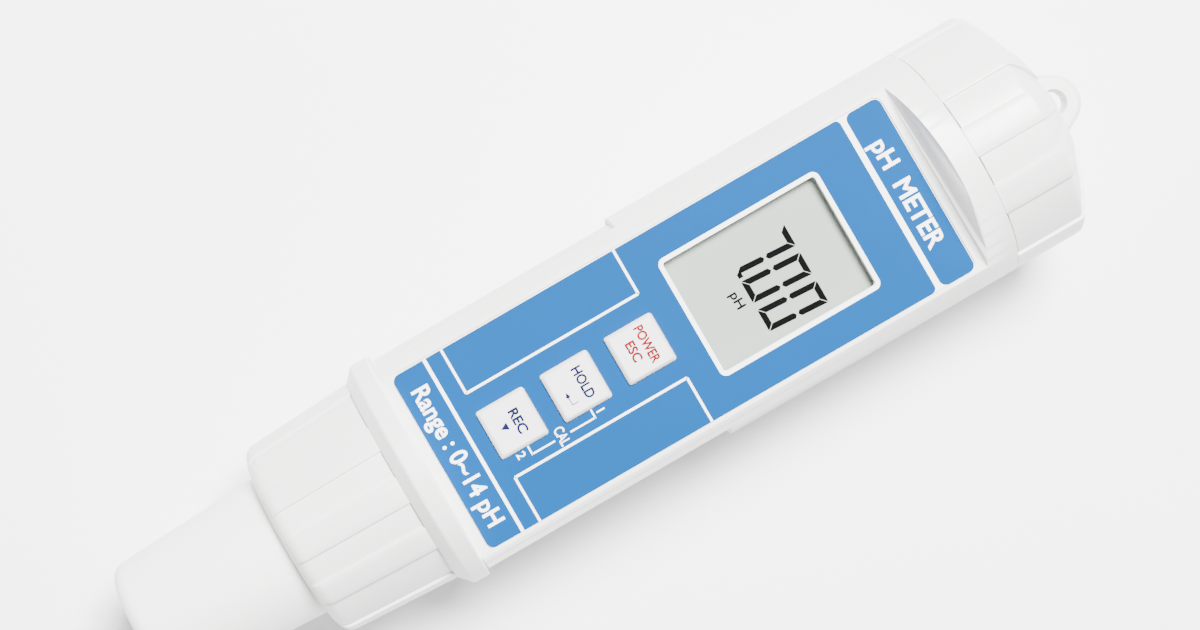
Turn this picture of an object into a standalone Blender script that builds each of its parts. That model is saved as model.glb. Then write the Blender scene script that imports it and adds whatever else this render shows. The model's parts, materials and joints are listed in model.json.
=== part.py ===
"""Pen-type pH meter lying on its back, built as separate solids, one for each real piece.

Sizes are in millimetres. x runs along the pen from its middle towards the battery cap, y runs across it,
and z is measured from the pen's centre line, towards the display. MM turns them into metres.
"""
import math

import bmesh
import bpy
from mathutils import Matrix, Vector

MM = 0.001
GAP = 0.3                      # running gap between neighbouring pieces
SEGMENTS = 48                  # facets round the large turned pieces
MIDDLE_SEGMENTS = 32           # facets round the electrode's pieces
SMALL_SEGMENTS = 20            # facets round the cells and other small turned pieces
TINY_SEGMENTS = 12             # facets round screws and contacts
AXIS_TOLERANCE = 0.001         # a profile point closer than this is on the axis

# The body tube
BODY_RADIUS = 20.0
AXIS_HEIGHT = 20.35            # centre line above the surface that the pad on the back rests on
FACE_HEIGHT = 11.75            # flat front face
INNER_RADIUS = 17.9
INNER_FACE = 9.75              # inside of the flat front wall
FACE_START = -33.6
FACE_END = 57.9
BODY_END = 63.2                # shoulder that the battery cap meets
COLLAR_END = -38.3             # shoulder that the lock ring meets
CAVITY_START = -31.5
ROUND_BORE_START = 60.0
CAP_NECK_RADIUS = 18.3
CAP_NECK_END = 71.2
CAP_NECK_BORE = 16.55
PROBE_NECK_RADIUS = 15.0
PROBE_NECK_END = -45.5
PROBE_NECK_BORE = 12.9
PROBE_BORE_END = -36.0
SOCKET_BORE = 8.5              # narrower hole from the probe bore into the body
GRIP_HALF_WIDTH = 19.05
GRIP_SPAN = (-33.15, 10.9)

# The front: label, display window and keys
LABEL = ((-31.6, 56.3), (-15.5, 15.5))
LABEL_RECESS = 11.4
LABEL_HEIGHTS = (11.6, 11.85)
WINDOW = ((14.1, 41.5), (-9.8, 9.8))
WINDOW_MARGIN = 0.75
LENS_HEIGHTS = (9.7, 10.3)
DISPLAY_HEIGHTS = (8.2, 9.4)
KEY_STATIONS = {"power": 4.4, "hold": -7.2, "rec": -18.7}
KEY_SIDE = 8.5
KEY_TOP = 13.0
KEY_FLANGE_SIDE = 10.4
KEY_FLANGE = (8.6, 9.45)

# Electronics and batteries
BOARD = ((-28.5, 58.0), (-14.2, 14.2), (5.7, 6.7))
SCREW_PLACES = [(-25.5, -12.4), (-25.5, 12.4), (54.6, -12.4), (54.6, 12.4)]
CELL_RADIUS = 5.05
CELL_LENGTH = 44.5
CELL_START = 22.5
CELL_PITCH = 10.3
CELL_CENTRE = -4.8
BULKHEAD = (17.3, 18.7)

# The battery cap
CAP_START = BODY_END + GAP
CAP_STRAIGHT_END = 75.4
CAP_FLAT_END = 80.4
CAP_DOME_RADIUS = 34.0
CAP_BORE = CAP_NECK_RADIUS + GAP
EAR_CENTRE = 82.4
EAR_RADIUS = 4.6
EAR_THICKNESS = 3.5
STRAP_HOLE_RADIUS = 1.9
RIB_DEPTH = 0.5
HOLLOW_ANGLES = (15, 45, 135, 165, 195, 225, 315, 345)   # hollows beside the ribs, degrees from the middle rib
WIDENING_ANGLES = (60, 120, 240, 300)                    # they widen the outer hollows to 30 degrees
CAP_RIB_ANGLE = -7.5                                     # middle rib, degrees from the front towards -Y
RING_RIB_ANGLE = 0.0
CONTACT_PLATE = (71.5, 72.7)

# The electrode, its lock ring and its storage cap
RING_START = COLLAR_END - GAP
RING_END = -59.1
RING_BORE = PROBE_NECK_RADIUS + GAP
FLANGE_END = -48.0
HANDLE_END = -66.0
SENSOR_END = -70.2
BULB_CENTRE = -73.0
BULB_RADIUS = 3.6
GUARD_END = -77.4
STORAGE_MOUTH = -52.5
STORAGE_END = -87.0

# Surface finishes: colour, roughness, metallic
FINISHES = {
    "white_plastic": ((0.85, 0.85, 0.86), 0.4, 0.0),
    "soft_white_plastic": ((0.83, 0.84, 0.83), 0.5, 0.0),
    "blue_label": ((0.0, 0.35, 0.77), 0.3, 0.0),
    "key_rubber": ((0.78, 0.77, 0.77), 0.6, 0.0),
    "clear_plastic": ((0.85, 0.88, 0.86), 0.1, 0.0),
    "display_glass": ((0.6, 0.64, 0.6), 0.2, 0.0),
    "black_plastic": ((0.02, 0.02, 0.02), 0.5, 0.0),
    "board_green": ((0.02, 0.18, 0.06), 0.45, 0.0),
    "steel": ((0.6, 0.6, 0.6), 0.3, 1.0),
    "brass": ((0.8, 0.55, 0.2), 0.3, 1.0),
    "silver_metal": ((0.85, 0.85, 0.83), 0.25, 1.0),
    "cell_jacket": ((0.09, 0.1, 0.12), 0.35, 0.3),
    "black_rubber": ((0.015, 0.015, 0.015), 0.75, 0.0),
    "sensor_epoxy": ((0.06, 0.07, 0.09), 0.35, 0.0),
    "bulb_glass": ((0.75, 0.85, 0.85), 0.05, 0.0),
    "ceramic": ((0.8, 0.78, 0.7), 0.8, 0.0),
    "sponge": ((0.85, 0.75, 0.3), 0.95, 0.0),
    "red_wire": ((0.5, 0.02, 0.02), 0.5, 0.0),
}


# ---------------------------------------------------------------- scene and materials

def clear_scene():
    """Remove the objects that the scene opens with."""
    for obj in list(bpy.data.objects):
        bpy.data.objects.remove(obj, do_unlink=True)


def new_collection(name):
    """Add a collection to the scene."""
    collection = bpy.data.collections.new(name)
    bpy.context.scene.collection.children.link(collection)
    return collection


def make_material(name, finish):
    """Give one piece its own material, from the table of finishes."""
    colour, roughness, metallic = FINISHES[finish]
    material = bpy.data.materials.new(name)
    material.use_nodes = True
    shader = material.node_tree.nodes["Principled BSDF"]
    shader.inputs["Base Color"].default_value = (*colour, 1.0)
    shader.inputs["Roughness"].default_value = roughness
    shader.inputs["Metallic"].default_value = metallic
    return material


# ---------------------------------------------------------------- building blocks

def place(obj, origin):
    """Put an object's own origin at a point given from the centre line."""
    obj.location = Vector(origin) * MM + Vector((0.0, 0.0, AXIS_HEIGHT * MM))


def solid(name, bm, origin=(0.0, 0.0, 0.0)):
    """Turn millimetre geometry into an object whose own origin is at the given point."""
    bmesh.ops.translate(bm, vec=-Vector(origin), verts=bm.verts)
    bmesh.ops.scale(bm, vec=(MM, MM, MM), verts=bm.verts)
    bmesh.ops.recalc_face_normals(bm, faces=bm.faces)
    mesh = bpy.data.meshes.new(name)
    bm.to_mesh(mesh)
    bm.free()
    obj = bpy.data.objects.new(name, mesh)
    place(obj, origin)
    return obj


def as_part(obj, finish):
    """Keep an object as one sub-part of the meter."""
    parts.objects.link(obj)
    obj.data.materials.append(make_material(obj.name, finish))
    if obj.type == "MESH":
        obj.data.shade_smooth()
        obj.data.set_sharp_from_angle(angle=math.radians(35.0))
    return obj


def as_cutter(obj):
    """Keep an object as a tool that only shapes others."""
    cutters.objects.link(obj)
    obj.hide_render = True
    obj.display_type = "WIRE"
    return obj


def combine(obj, tool, operation):
    """Cut an object by a tool, or join the tool to it."""
    modifier = obj.modifiers.new(tool.name, "BOOLEAN")
    modifier.operation = operation
    modifier.solver = "EXACT"
    modifier.object = tool


def box_mesh(x, y, z):
    """A box between two corners, given as ranges."""
    bm = bmesh.new()
    centre = Vector([(low + high) / 2 for low, high in (x, y, z)])
    size = [high - low for low, high in (x, y, z)]
    matrix = Matrix.Translation(centre) @ Matrix.Diagonal((*size, 1.0))
    bmesh.ops.create_cube(bm, size=1.0, matrix=matrix)
    return bm


def box(name, x, y, z):
    """A box object with its origin at its centre."""
    origin = [(low + high) / 2 for low, high in (x, y, z)]
    return solid(name, box_mesh(x, y, z), origin)


def rod_mesh(start, end, radius, segments=SEGMENTS):
    """A cylinder along the pen's centre line, turned half a facet against the screwed pieces."""
    bm = bmesh.new()
    matrix = Matrix.Translation(((start + end) / 2, 0.0, 0.0)) @ Matrix.Rotation(math.pi / 2, 4, "Y")
    matrix = matrix @ Matrix.Rotation(math.pi / segments, 4, "Z")
    bmesh.ops.create_cone(bm, cap_ends=True, segments=segments, radius1=radius, radius2=radius,
                          depth=end - start, matrix=matrix)
    return bm


def post_mesh(x, y, bottom, top, radius):
    """An upright cylinder."""
    bm = bmesh.new()
    matrix = Matrix.Translation((x, y, (bottom + top) / 2))
    bmesh.ops.create_cone(bm, cap_ends=True, segments=SMALL_SEGMENTS, radius1=radius, radius2=radius,
                          depth=top - bottom, matrix=matrix)
    return bm


def flatten(bm, height):
    """Slice the top off a closed mesh at the given height."""
    everything = bm.verts[:] + bm.edges[:] + bm.faces[:]
    cut = bmesh.ops.bisect_plane(bm, geom=everything, plane_co=(0.0, 0.0, height),
                                 plane_no=(0.0, 0.0, 1.0), clear_outer=True)
    rim = [item for item in cut["geom_cut"] if isinstance(item, bmesh.types.BMEdge)]
    bmesh.ops.edgeloop_fill(bm, edges=rim)
    return bm


def prism_mesh(outline, plane, low, high):
    """A flat outline in the XY or XZ plane, given a thickness along the third axis."""
    bm = bmesh.new()
    if plane == "XY":
        corners = [(first, second, low) for first, second in outline]
        push = (0.0, 0.0, high - low)
    else:
        corners = [(first, low, second) for first, second in outline]
        push = (0.0, high - low, 0.0)
    face = bm.faces.new([bm.verts.new(corner) for corner in corners])
    raised = bmesh.ops.extrude_face_region(bm, geom=[face])["geom"]
    moved = [item for item in raised if isinstance(item, bmesh.types.BMVert)]
    bmesh.ops.translate(bm, vec=push, verts=moved)
    return bm


def turned(name, profile, segments=SEGMENTS, origin=(0.0, 0.0, 0.0), axis="X", twist=0.0):
    """A turned solid. The profile holds (station, radius) pairs, from the high end down the outside.

    A profile that starts and ends on the axis is a solid piece, and any other closes up as a ring.
    Stations are along the pen (axis X) or upwards (axis Z), from the object's origin.
    """
    verts = [(radius * MM, 0.0, station * MM) for station, radius in profile]
    edges = [(index, index + 1) for index in range(len(profile) - 1)]
    if profile[0][1] > AXIS_TOLERANCE:
        edges.append((len(profile) - 1, 0))
    mesh = bpy.data.meshes.new(name)
    mesh.from_pydata(verts, edges, [])
    obj = bpy.data.objects.new(name, mesh)
    place(obj, origin)
    obj.rotation_euler = (0.0, math.pi / 2, 0.0) if axis == "X" else (0.0, 0.0, twist)
    screw = obj.modifiers.new("Screw", "SCREW")
    screw.axis = "Z"
    screw.steps = segments
    screw.render_steps = segments
    screw.use_merge_vertices = True
    screw.merge_threshold = 0.00001
    return obj


def ring_section(station, radius, thickness):
    """The round section of a sealing ring, as an eight-sided profile."""
    points = []
    for step in range(8):
        angle = math.pi / 2 - math.pi / 4 * (step + 0.5)
        points.append((station + thickness / 2 * math.sin(angle), radius + thickness / 2 * math.cos(angle)))
    return points


def cut_hollows(obj, name, start, end, radius, middle_angle):
    """Sink shallow hollows along a round piece, so that three ribs stand front and back and one each side."""
    half_width = (radius + 0.05) * math.sin(math.radians(7.5))
    for kind, angles in (("hollow", HOLLOW_ANGLES), ("widening", WIDENING_ANGLES)):
        joined = bmesh.new()
        for degrees in angles:
            bm = box_mesh((start, end), (-half_width, half_width), (radius - RIB_DEPTH, radius + 3.0))
            turn = Matrix.Rotation(math.radians(middle_angle + degrees), 3, "X")
            bmesh.ops.rotate(bm, cent=(0.0, 0.0, 0.0), matrix=turn, verts=bm.verts)
            piece = bpy.data.meshes.new(name)
            bm.to_mesh(piece)
            bm.free()
            joined.from_mesh(piece)
            bpy.data.meshes.remove(piece)
        combine(obj, as_cutter(solid("%s_%s_cutters" % (name, kind), joined)), "DIFFERENCE")


def wire(name, points, radius):
    """A round wire through the given points, with closed ends."""
    curve = bpy.data.curves.new(name, "CURVE")
    curve.dimensions = "3D"
    curve.bevel_depth = radius * MM
    curve.bevel_resolution = 2
    curve.use_fill_caps = True
    spline = curve.splines.new("POLY")
    spline.points.add(len(points) - 1)
    origin = Vector(points[0])
    for knot, point in zip(spline.points, points):
        knot.co = (*((Vector(point) - origin) * MM), 1.0)
    obj = bpy.data.objects.new(name, curve)
    place(obj, origin)
    return obj


# ---------------------------------------------------------------- body tube

def make_housing():
    """The one-piece body: tube with a flat front, two threaded necks, posts, window and key wells."""
    collar_radius = BODY_RADIUS + 0.05
    groove = CAP_NECK_RADIUS - 0.95
    profile = [
        (CAP_NECK_END, 0.0), (CAP_NECK_END, CAP_NECK_RADIUS - 0.6), (CAP_NECK_END - 0.6, CAP_NECK_RADIUS),
        (65.7, CAP_NECK_RADIUS), (65.7, groove), (64.0, groove), (64.0, CAP_NECK_RADIUS),
        (BODY_END, CAP_NECK_RADIUS), (BODY_END, BODY_RADIUS), (-33.4, BODY_RADIUS - 0.1),
        (-34.0, collar_radius), (-36.6, collar_radius), (COLLAR_END, 17.9), (COLLAR_END, PROBE_NECK_RADIUS),
        (PROBE_NECK_END + 0.6, PROBE_NECK_RADIUS), (PROBE_NECK_END, PROBE_NECK_RADIUS - 0.6),
        (PROBE_NECK_END, 0.0),
    ]
    housing = as_part(turned("main_housing", profile), "white_plastic")

    front = [(FACE_START, FACE_HEIGHT), (FACE_END, FACE_HEIGHT), (FACE_END + 1.77, 21.5),
             (FACE_START + 0.2, 21.5)]
    combine(housing, as_cutter(solid("front_cut", prism_mesh(front, "XZ", -25.0, 25.0))), "DIFFERENCE")
    for side, name in ((1, "grip_cut_left"), (-1, "grip_cut_right")):
        wide = sorted((side * GRIP_HALF_WIDTH, side * 25.0))
        combine(housing, as_cutter(box(name, GRIP_SPAN, wide, (-12.0, 12.0))), "DIFFERENCE")
    pad = box("back_pad", (-22.0, 48.0), (-6.0, 6.0), (-AXIS_HEIGHT, -18.5))
    combine(housing, as_cutter(pad), "UNION")

    cavity = flatten(rod_mesh(CAVITY_START, 57.4, INNER_RADIUS), INNER_FACE)
    throat = flatten(rod_mesh(57.0, ROUND_BORE_START + 0.4, CAP_NECK_BORE - 0.1), INNER_FACE - 0.15)
    cap_bore = rod_mesh(ROUND_BORE_START, CAP_NECK_END + 1.0, CAP_NECK_BORE)
    probe_bore = rod_mesh(PROBE_NECK_END - 1.0, PROBE_BORE_END, PROBE_NECK_BORE)
    socket_bore = rod_mesh(PROBE_BORE_END - 1.0, CAVITY_START + 1.0, SOCKET_BORE)
    for name, bm in (("cavity", cavity), ("throat", throat), ("cap_bore", cap_bore),
                     ("probe_bore", probe_bore), ("socket_bore", socket_bore)):
        combine(housing, as_cutter(solid(name, bm)), "DIFFERENCE")

    for index, (x, y) in enumerate(SCREW_PLACES, start=1):
        post = solid("post_%d" % index, post_mesh(x, y, 7.0, INNER_FACE + 0.6, 2.0))
        pilot = solid("pilot_%d" % index, post_mesh(x, y, 6.0, 9.3, 1.3))
        combine(housing, as_cutter(post), "UNION")
        combine(housing, as_cutter(pilot), "DIFFERENCE")

    (label_x, label_y) = LABEL
    recess = box("label_recess", (label_x[0] - GAP, label_x[1] + GAP),
                 (label_y[0] - GAP, label_y[1] + GAP), (LABEL_RECESS, 14.0))
    combine(housing, as_cutter(recess), "DIFFERENCE")
    combine(housing, as_cutter(box("window_cut", *WINDOW, (9.0, 14.0))), "DIFFERENCE")
    (window_x, window_y) = WINDOW
    pocket = box("lens_pocket", (window_x[0] - 1.0, window_x[1] + 1.0),
                 (window_y[0] - 1.0, window_y[1] + 1.0), (9.0, LENS_HEIGHTS[1] + GAP))
    combine(housing, as_cutter(pocket), "DIFFERENCE")
    half_well = KEY_SIDE / 2 + GAP
    for name, station in KEY_STATIONS.items():
        well = box("well_" + name, (station - half_well, station + half_well), (-half_well, half_well),
                   (9.0, 14.0))
        combine(housing, as_cutter(well), "DIFFERENCE")
    return housing


def make_face_label():
    """The printed label in its shallow recess, with openings for the window and the keys."""
    label = as_part(box("face_label", *LABEL, LABEL_HEIGHTS), "blue_label")
    (window_x, window_y) = WINDOW
    opening = box("label_window", (window_x[0] - WINDOW_MARGIN, window_x[1] + WINDOW_MARGIN),
                  (window_y[0] - WINDOW_MARGIN, window_y[1] + WINDOW_MARGIN), (11.0, 13.0))
    combine(label, as_cutter(opening), "DIFFERENCE")
    half_hole = KEY_SIDE / 2 + GAP + 0.1
    for name, station in KEY_STATIONS.items():
        hole = box("label_hole_" + name, (station - half_hole, station + half_hole),
                   (-half_hole, half_hole), (11.0, 13.0))
        combine(label, as_cutter(hole), "DIFFERENCE")


def make_key(name, station):
    """One push key: a square cap with a bevelled rim on a flange that stays under the front wall."""
    corner = math.sqrt(2.0)
    cap = KEY_SIDE / 2
    profile = [
        (KEY_TOP, 0.0), (KEY_TOP, (cap - 0.6) * corner), (KEY_TOP - 0.6, cap * corner),
        (KEY_FLANGE[1], cap * corner), (KEY_FLANGE[1], KEY_FLANGE_SIDE / 2 * corner),
        (KEY_FLANGE[0], KEY_FLANGE_SIDE / 2 * corner), (KEY_FLANGE[0], 0.0),
    ]
    key = turned("key_" + name, profile, 4, (station, 0.0, 0.0), "Z", math.pi / 4)
    as_part(key, "key_rubber")


# ---------------------------------------------------------------- display and circuit board

def make_display():
    """The clear lens behind the window, the display cell and its two contact strips."""
    (window_x, window_y) = WINDOW
    lens = box("window_lens", (window_x[0] - 0.7, window_x[1] + 0.7), (window_y[0] - 0.7, window_y[1] + 0.7),
               LENS_HEIGHTS)
    as_part(lens, "clear_plastic")
    cell = box("display_cell", (window_x[0] - 1.5, window_x[1] + 1.5), (window_y[0] - 1.5, window_y[1] + 1.5),
               DISPLAY_HEIGHTS)
    as_part(cell, "display_glass")
    for name, y in (("left", (8.6, 10.6)), ("right", (-10.6, -8.6))):
        strip = box("contact_strip_" + name, (window_x[0], window_x[1]), y, (7.0, 7.9))
        as_part(strip, "black_rubber")


def make_circuit_board():
    """The main board with its parts, its screws, the key switches and the seal round the keys."""
    board = as_part(box("main_board", *BOARD), "board_green")
    for index, (x, y) in enumerate(SCREW_PLACES, start=1):
        hole = solid("board_hole_%d" % index, post_mesh(x, y, 5.0, 7.5, 1.45))
        combine(board, as_cutter(hole), "DIFFERENCE")
        profile = [(8.9, 0.0), (8.9, 0.7), (8.3, 1.05), (5.4, 1.05), (5.4, 1.9), (4.7, 1.9), (4.2, 1.3),
                   (4.2, 0.0)]
        screw = turned("board_screw_%d" % index, profile, TINY_SEGMENTS, (x, y, 0.0), "Z")
        as_part(screw, "steel")

    as_part(box("processor_chip", (-11.0, -1.0), (-5.0, 5.0), (4.0, 5.4)), "black_plastic")
    as_part(box("amplifier_chip", (-21.0, -16.0), (-2.0, 2.0), (3.9, 5.4)), "black_plastic")
    as_part(box("crystal_can", (4.0, 7.5), (-5.0, 5.0), (2.4, 5.4)), "silver_metal")
    canister = [(5.4, 0.0), (5.4, 3.1), (-1.6, 3.1), (-1.6, 0.0)]
    as_part(turned("capacitor", canister, SMALL_SEGMENTS, (12.0, 8.0, 0.0), "Z"), "black_plastic")
    trimmer = [(5.4, 0.0), (5.4, 3.0), (2.4, 3.0), (2.4, 0.0)]
    as_part(turned("trimmer", trimmer, SMALL_SEGMENTS, (12.0, -8.0, 0.0), "Z"), "white_plastic")

    seal = as_part(box("key_seal", (-26.0, 11.6), (-8.0, 8.0), KEY_FLANGE), "black_rubber")
    half_hole = KEY_FLANGE_SIDE / 2 + GAP
    for name, station in KEY_STATIONS.items():
        hole = box("seal_hole_" + name, (station - half_hole, station + half_hole),
                   (-half_hole, half_hole), (8.0, 10.0))
        combine(seal, as_cutter(hole), "DIFFERENCE")
        corner = math.sqrt(2.0)
        profile = [(7.75, 0.0), (7.75, 1.2), (7.5, 1.2), (7.5, 3.0 * corner), (7.0, 3.0 * corner),
                   (7.0, 0.0)]
        switch = turned("switch_" + name, profile, 4, (station, 0.0, 0.0), "Z", math.pi / 4)
        as_part(switch, "black_plastic")


# ---------------------------------------------------------------- batteries and contacts

def cell_places():
    """The centres of the four cells across the pen, and which end of each points to the cap."""
    places = []
    for row in (-1, 1):
        for column in (-1, 1):
            places.append((column * CELL_PITCH / 2, CELL_CENTRE + row * CELL_PITCH / 2, row * column > 0))
    return places


def make_cells():
    """Four cylindrical cells side by side, alternately reversed."""
    for index, (y, z, button_out) in enumerate(cell_places(), start=1):
        end = CELL_LENGTH
        if button_out:
            profile = [(end, 0.0), (end, 1.9), (end - 1.0, 1.9), (end - 1.0, CELL_RADIUS), (0.0, CELL_RADIUS),
                       (0.0, 0.0)]
        else:
            profile = [(end, 0.0), (end, CELL_RADIUS), (1.0, CELL_RADIUS), (1.0, 1.9), (0.0, 1.9),
                       (0.0, 0.0)]
        cell = turned("battery_%d" % index, profile, SMALL_SEGMENTS, (CELL_START, y, z))
        as_part(cell, "cell_jacket")


def make_contact(name, start, end, y, z, is_spring):
    """A coil spring for a cell's flat end, or a stud for its button end, standing on a plate at start."""
    if not is_spring:
        direction = 1 if end > start else -1
        low, high = sorted((start, end))
        base, tip = start + direction * 0.8, end
        if direction > 0:
            profile = [(tip, 0.0), (tip, 1.5), (base, 1.5), (base, 3.4), (low, 3.4), (low, 0.0)]
        else:
            profile = [(high, 0.0), (high, 3.4), (base, 3.4), (base, 1.5), (tip, 1.5), (tip, 0.0)]
        as_part(turned(name, profile, TINY_SEGMENTS, (0.0, y, z)), "brass")
        return
    turns = 3
    knots = 8
    wire_radius = 0.3
    direction = 1 if end > start else -1
    first = start + direction * wire_radius
    last = end - direction * wire_radius
    points = []
    for knot in range(turns * knots + 1):
        part = knot / (turns * knots)
        angle = 2 * math.pi * turns * part
        radius = 3.6 - 1.4 * part
        points.append((first + (last - first) * part, y + radius * math.cos(angle),
                       z + radius * math.sin(angle)))
    as_part(wire(name, points, wire_radius), "steel")


def make_contacts():
    """The bulkhead at the inner end of the cells, the plate in the cap, and the contacts on both."""
    bulkhead = solid("battery_bulkhead", flatten(rod_mesh(*BULKHEAD, INNER_RADIUS - GAP), 5.4))
    as_part(bulkhead, "black_plastic")
    plate = solid("cap_contact_plate", rod_mesh(*CONTACT_PLATE, 17.5))
    as_part(plate, "black_plastic")
    for index, (y, z, button_out) in enumerate(cell_places(), start=1):
        make_contact("bay_contact_%d" % index, BULKHEAD[1] + GAP, CELL_START - GAP, y, z, button_out)
        make_contact("cap_contact_%d" % index, CONTACT_PLATE[0] - GAP, CELL_START + CELL_LENGTH + GAP, y, z,
                     not button_out)


# ---------------------------------------------------------------- battery cap

def make_battery_cap():
    """The domed screw cap with gripping ribs and the ear for a wrist strap."""
    dome_centre = CAP_STRAIGHT_END - math.sqrt(CAP_DOME_RADIUS ** 2 - BODY_RADIUS ** 2)
    flat_radius = math.sqrt(CAP_DOME_RADIUS ** 2 - (CAP_FLAT_END - dome_centre) ** 2)
    profile = [(CAP_FLAT_END, 0.0)]
    dome_steps = 5
    for step in range(dome_steps + 1):
        radius = flat_radius + (BODY_RADIUS - flat_radius) * step / dome_steps
        profile.append((dome_centre + math.sqrt(CAP_DOME_RADIUS ** 2 - radius ** 2), radius))
    profile += [(CAP_START, BODY_RADIUS), (CAP_START, CAP_BORE), (73.2, CAP_BORE), (77.4, 12.0), (77.4, 0.0)]
    cap = as_part(turned("battery_cap", profile), "white_plastic")
    cut_hollows(cap, "cap", CAP_START - 0.5, CAP_FLAT_END + 6.0, BODY_RADIUS, CAP_RIB_ANGLE)

    ear_outline = [(79.0, 7.4), (79.0, -7.4), (80.2, -6.2)]
    for step in range(9):
        angle = math.radians(-75.0 + 150.0 * step / 8)
        ear_outline.append((EAR_CENTRE + EAR_RADIUS * math.cos(angle), EAR_RADIUS * math.sin(angle)))
    ear_outline.append((80.2, 6.2))
    half = EAR_THICKNESS / 2
    ear = solid("strap_ear", prism_mesh(ear_outline, "XY", -half, half))
    combine(cap, as_cutter(ear), "UNION")
    hole = solid("strap_hole", post_mesh(EAR_CENTRE, 0.0, -half - 1.0, half + 1.0, STRAP_HOLE_RADIUS))
    combine(cap, as_cutter(hole), "DIFFERENCE")
    seal = turned("cap_seal_ring", ring_section(64.85, 17.98, 0.85), MIDDLE_SEGMENTS)
    as_part(seal, "black_rubber")


# ---------------------------------------------------------------- electrode

def make_electrode():
    """The replaceable electrode: plug, flange, handle, sensor tube, glass bulb and guard."""
    flange_start = PROBE_NECK_END - GAP
    plug_end = -36.5
    plug_radius = PROBE_NECK_BORE - 0.4
    groove = plug_radius - 1.3
    profile = [
        (plug_end, 0.0), (plug_end, plug_radius - 0.5), (plug_end - 0.5, plug_radius), (-38.6, plug_radius),
        (-38.6, groove), (-40.8, groove), (-40.8, plug_radius), (flange_start, plug_radius),
        (flange_start, PROBE_NECK_RADIUS - 0.4), (FLANGE_END, PROBE_NECK_RADIUS - 0.4), (FLANGE_END, 12.2),
        (STORAGE_MOUTH + GAP, 12.2), (STORAGE_MOUTH + GAP, 8.8), (-55.0, 8.8), (-55.0, 7.4), (-57.2, 7.4),
        (-57.2, 8.8), (HANDLE_END, 8.8), (HANDLE_END, 6.3), (-62.5, 6.3), (-62.5, 0.0),
    ]
    as_part(turned("electrode_handle", profile, MIDDLE_SEGMENTS), "white_plastic")
    plug_ring = turned("plug_seal_ring", ring_section(-39.7, groove + 0.95, 1.3), MIDDLE_SEGMENTS)
    as_part(plug_ring, "black_rubber")
    grip_ring = turned("grip_ring", ring_section(-56.1, 8.45, 1.5), MIDDLE_SEGMENTS)
    as_part(grip_ring, "black_rubber")
    pin = [(-31.0, 0.0), (-31.0, 0.7), (-31.6, 1.15), (plug_end + GAP, 1.15), (plug_end + GAP, 0.0)]
    as_part(turned("plug_pin", pin, TINY_SEGMENTS), "brass")

    sensor = [(-62.8, 0.0), (-62.8, 6.0), (SENSOR_END, 6.0), (SENSOR_END, 3.2), (-68.1, 3.2), (-68.1, 0.0)]
    as_part(turned("sensor_body", sensor, MIDDLE_SEGMENTS), "sensor_epoxy")
    as_part(turned("glass_bulb", bulb_profile(), MIDDLE_SEGMENTS), "bulb_glass")
    wire_profile = [(-68.8, 0.0), (-68.8, 0.4), (-74.6, 0.4), (-74.6, 0.0)]
    as_part(turned("silver_wire", wire_profile, TINY_SEGMENTS), "silver_metal")
    junction = [(SENSOR_END - GAP, 5.6), (-71.2, 5.6), (-71.2, 4.3), (SENSOR_END - GAP, 4.3)]
    as_part(turned("reference_junction", junction, MIDDLE_SEGMENTS), "ceramic")

    guard_profile = [(HANDLE_END - GAP, 7.6), (GUARD_END + 0.5, 7.6), (GUARD_END, 7.1), (GUARD_END, 6.3),
                     (HANDLE_END - GAP, 6.3)]
    guard = as_part(turned("sensor_guard", guard_profile, MIDDLE_SEGMENTS), "white_plastic")
    slot = (GUARD_END + 1.6, -71.5)
    upright = box("guard_slot_upright", slot, (-2.2, 2.2), (-9.0, 9.0))
    level = box("guard_slot_level", slot, (-9.0, 9.0), (-2.2, 2.2))
    combine(guard, as_cutter(upright), "DIFFERENCE")
    combine(guard, as_cutter(level), "DIFFERENCE")


def bulb_profile():
    """The glass stem and ball, open at the top where the wire enters."""
    wall = 0.5
    stem = 2.8
    top = -68.4
    outer = [(top, stem)]
    inner = [(top, stem - wall)]
    steps = 8
    for radius, neck, points in ((BULB_RADIUS, stem, outer), (BULB_RADIUS - wall, stem - wall, inner)):
        first = math.asin(neck / radius)
        for step in range(steps + 1):
            angle = first + (math.pi - first) * step / steps
            points.append((BULB_CENTRE + radius * math.cos(angle), radius * math.sin(angle)))
    return inner[::-1] + outer


# ---------------------------------------------------------------- lock ring and storage cap

def make_lock_ring():
    """The ribbed union nut that clamps the electrode's flange against the body."""
    shoulder = FLANGE_END - GAP
    profile = [(RING_START, 17.9), (RING_END + 2.0, 16.9), (RING_END + 0.9, 16.1), (RING_END + 0.2, 14.6),
               (RING_END, 12.9), (shoulder, 12.9), (shoulder, RING_BORE), (RING_START, RING_BORE)]
    ring = as_part(turned("lock_ring", profile), "white_plastic")
    cut_hollows(ring, "ring", RING_END - 1.0, RING_START - 1.6, 17.4, RING_RIB_ANGLE)


def make_storage_cap():
    """The tapered cap that keeps the bulb wet, with its sponge."""
    end = STORAGE_END
    profile = [(STORAGE_MOUTH, 12.5), (RING_END, 12.3), (end + 3.0, 11.1), (end + 1.4, 10.75),
               (end + 0.4, 9.6), (end, 7.5), (end, 0.0), (end + 2.2, 0.0), (end + 2.2, 8.9),
               (STORAGE_MOUTH, 9.6)]
    as_part(turned("storage_cap", start_at_floor(profile)), "soft_white_plastic")
    sponge = [(-82.3, 0.0), (-82.3, 8.5), (-84.5, 8.5), (-84.5, 0.0)]
    as_part(turned("storage_sponge", sponge, MIDDLE_SEGMENTS), "sponge")


def start_at_floor(profile):
    """Start an open cup's profile at its inner floor, so that both of its ends lie on the axis."""
    floor = max(index for index, (_, radius) in enumerate(profile) if radius < AXIS_TOLERANCE)
    return profile[floor:] + profile[:floor]


# ---------------------------------------------------------------- signal path

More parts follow.
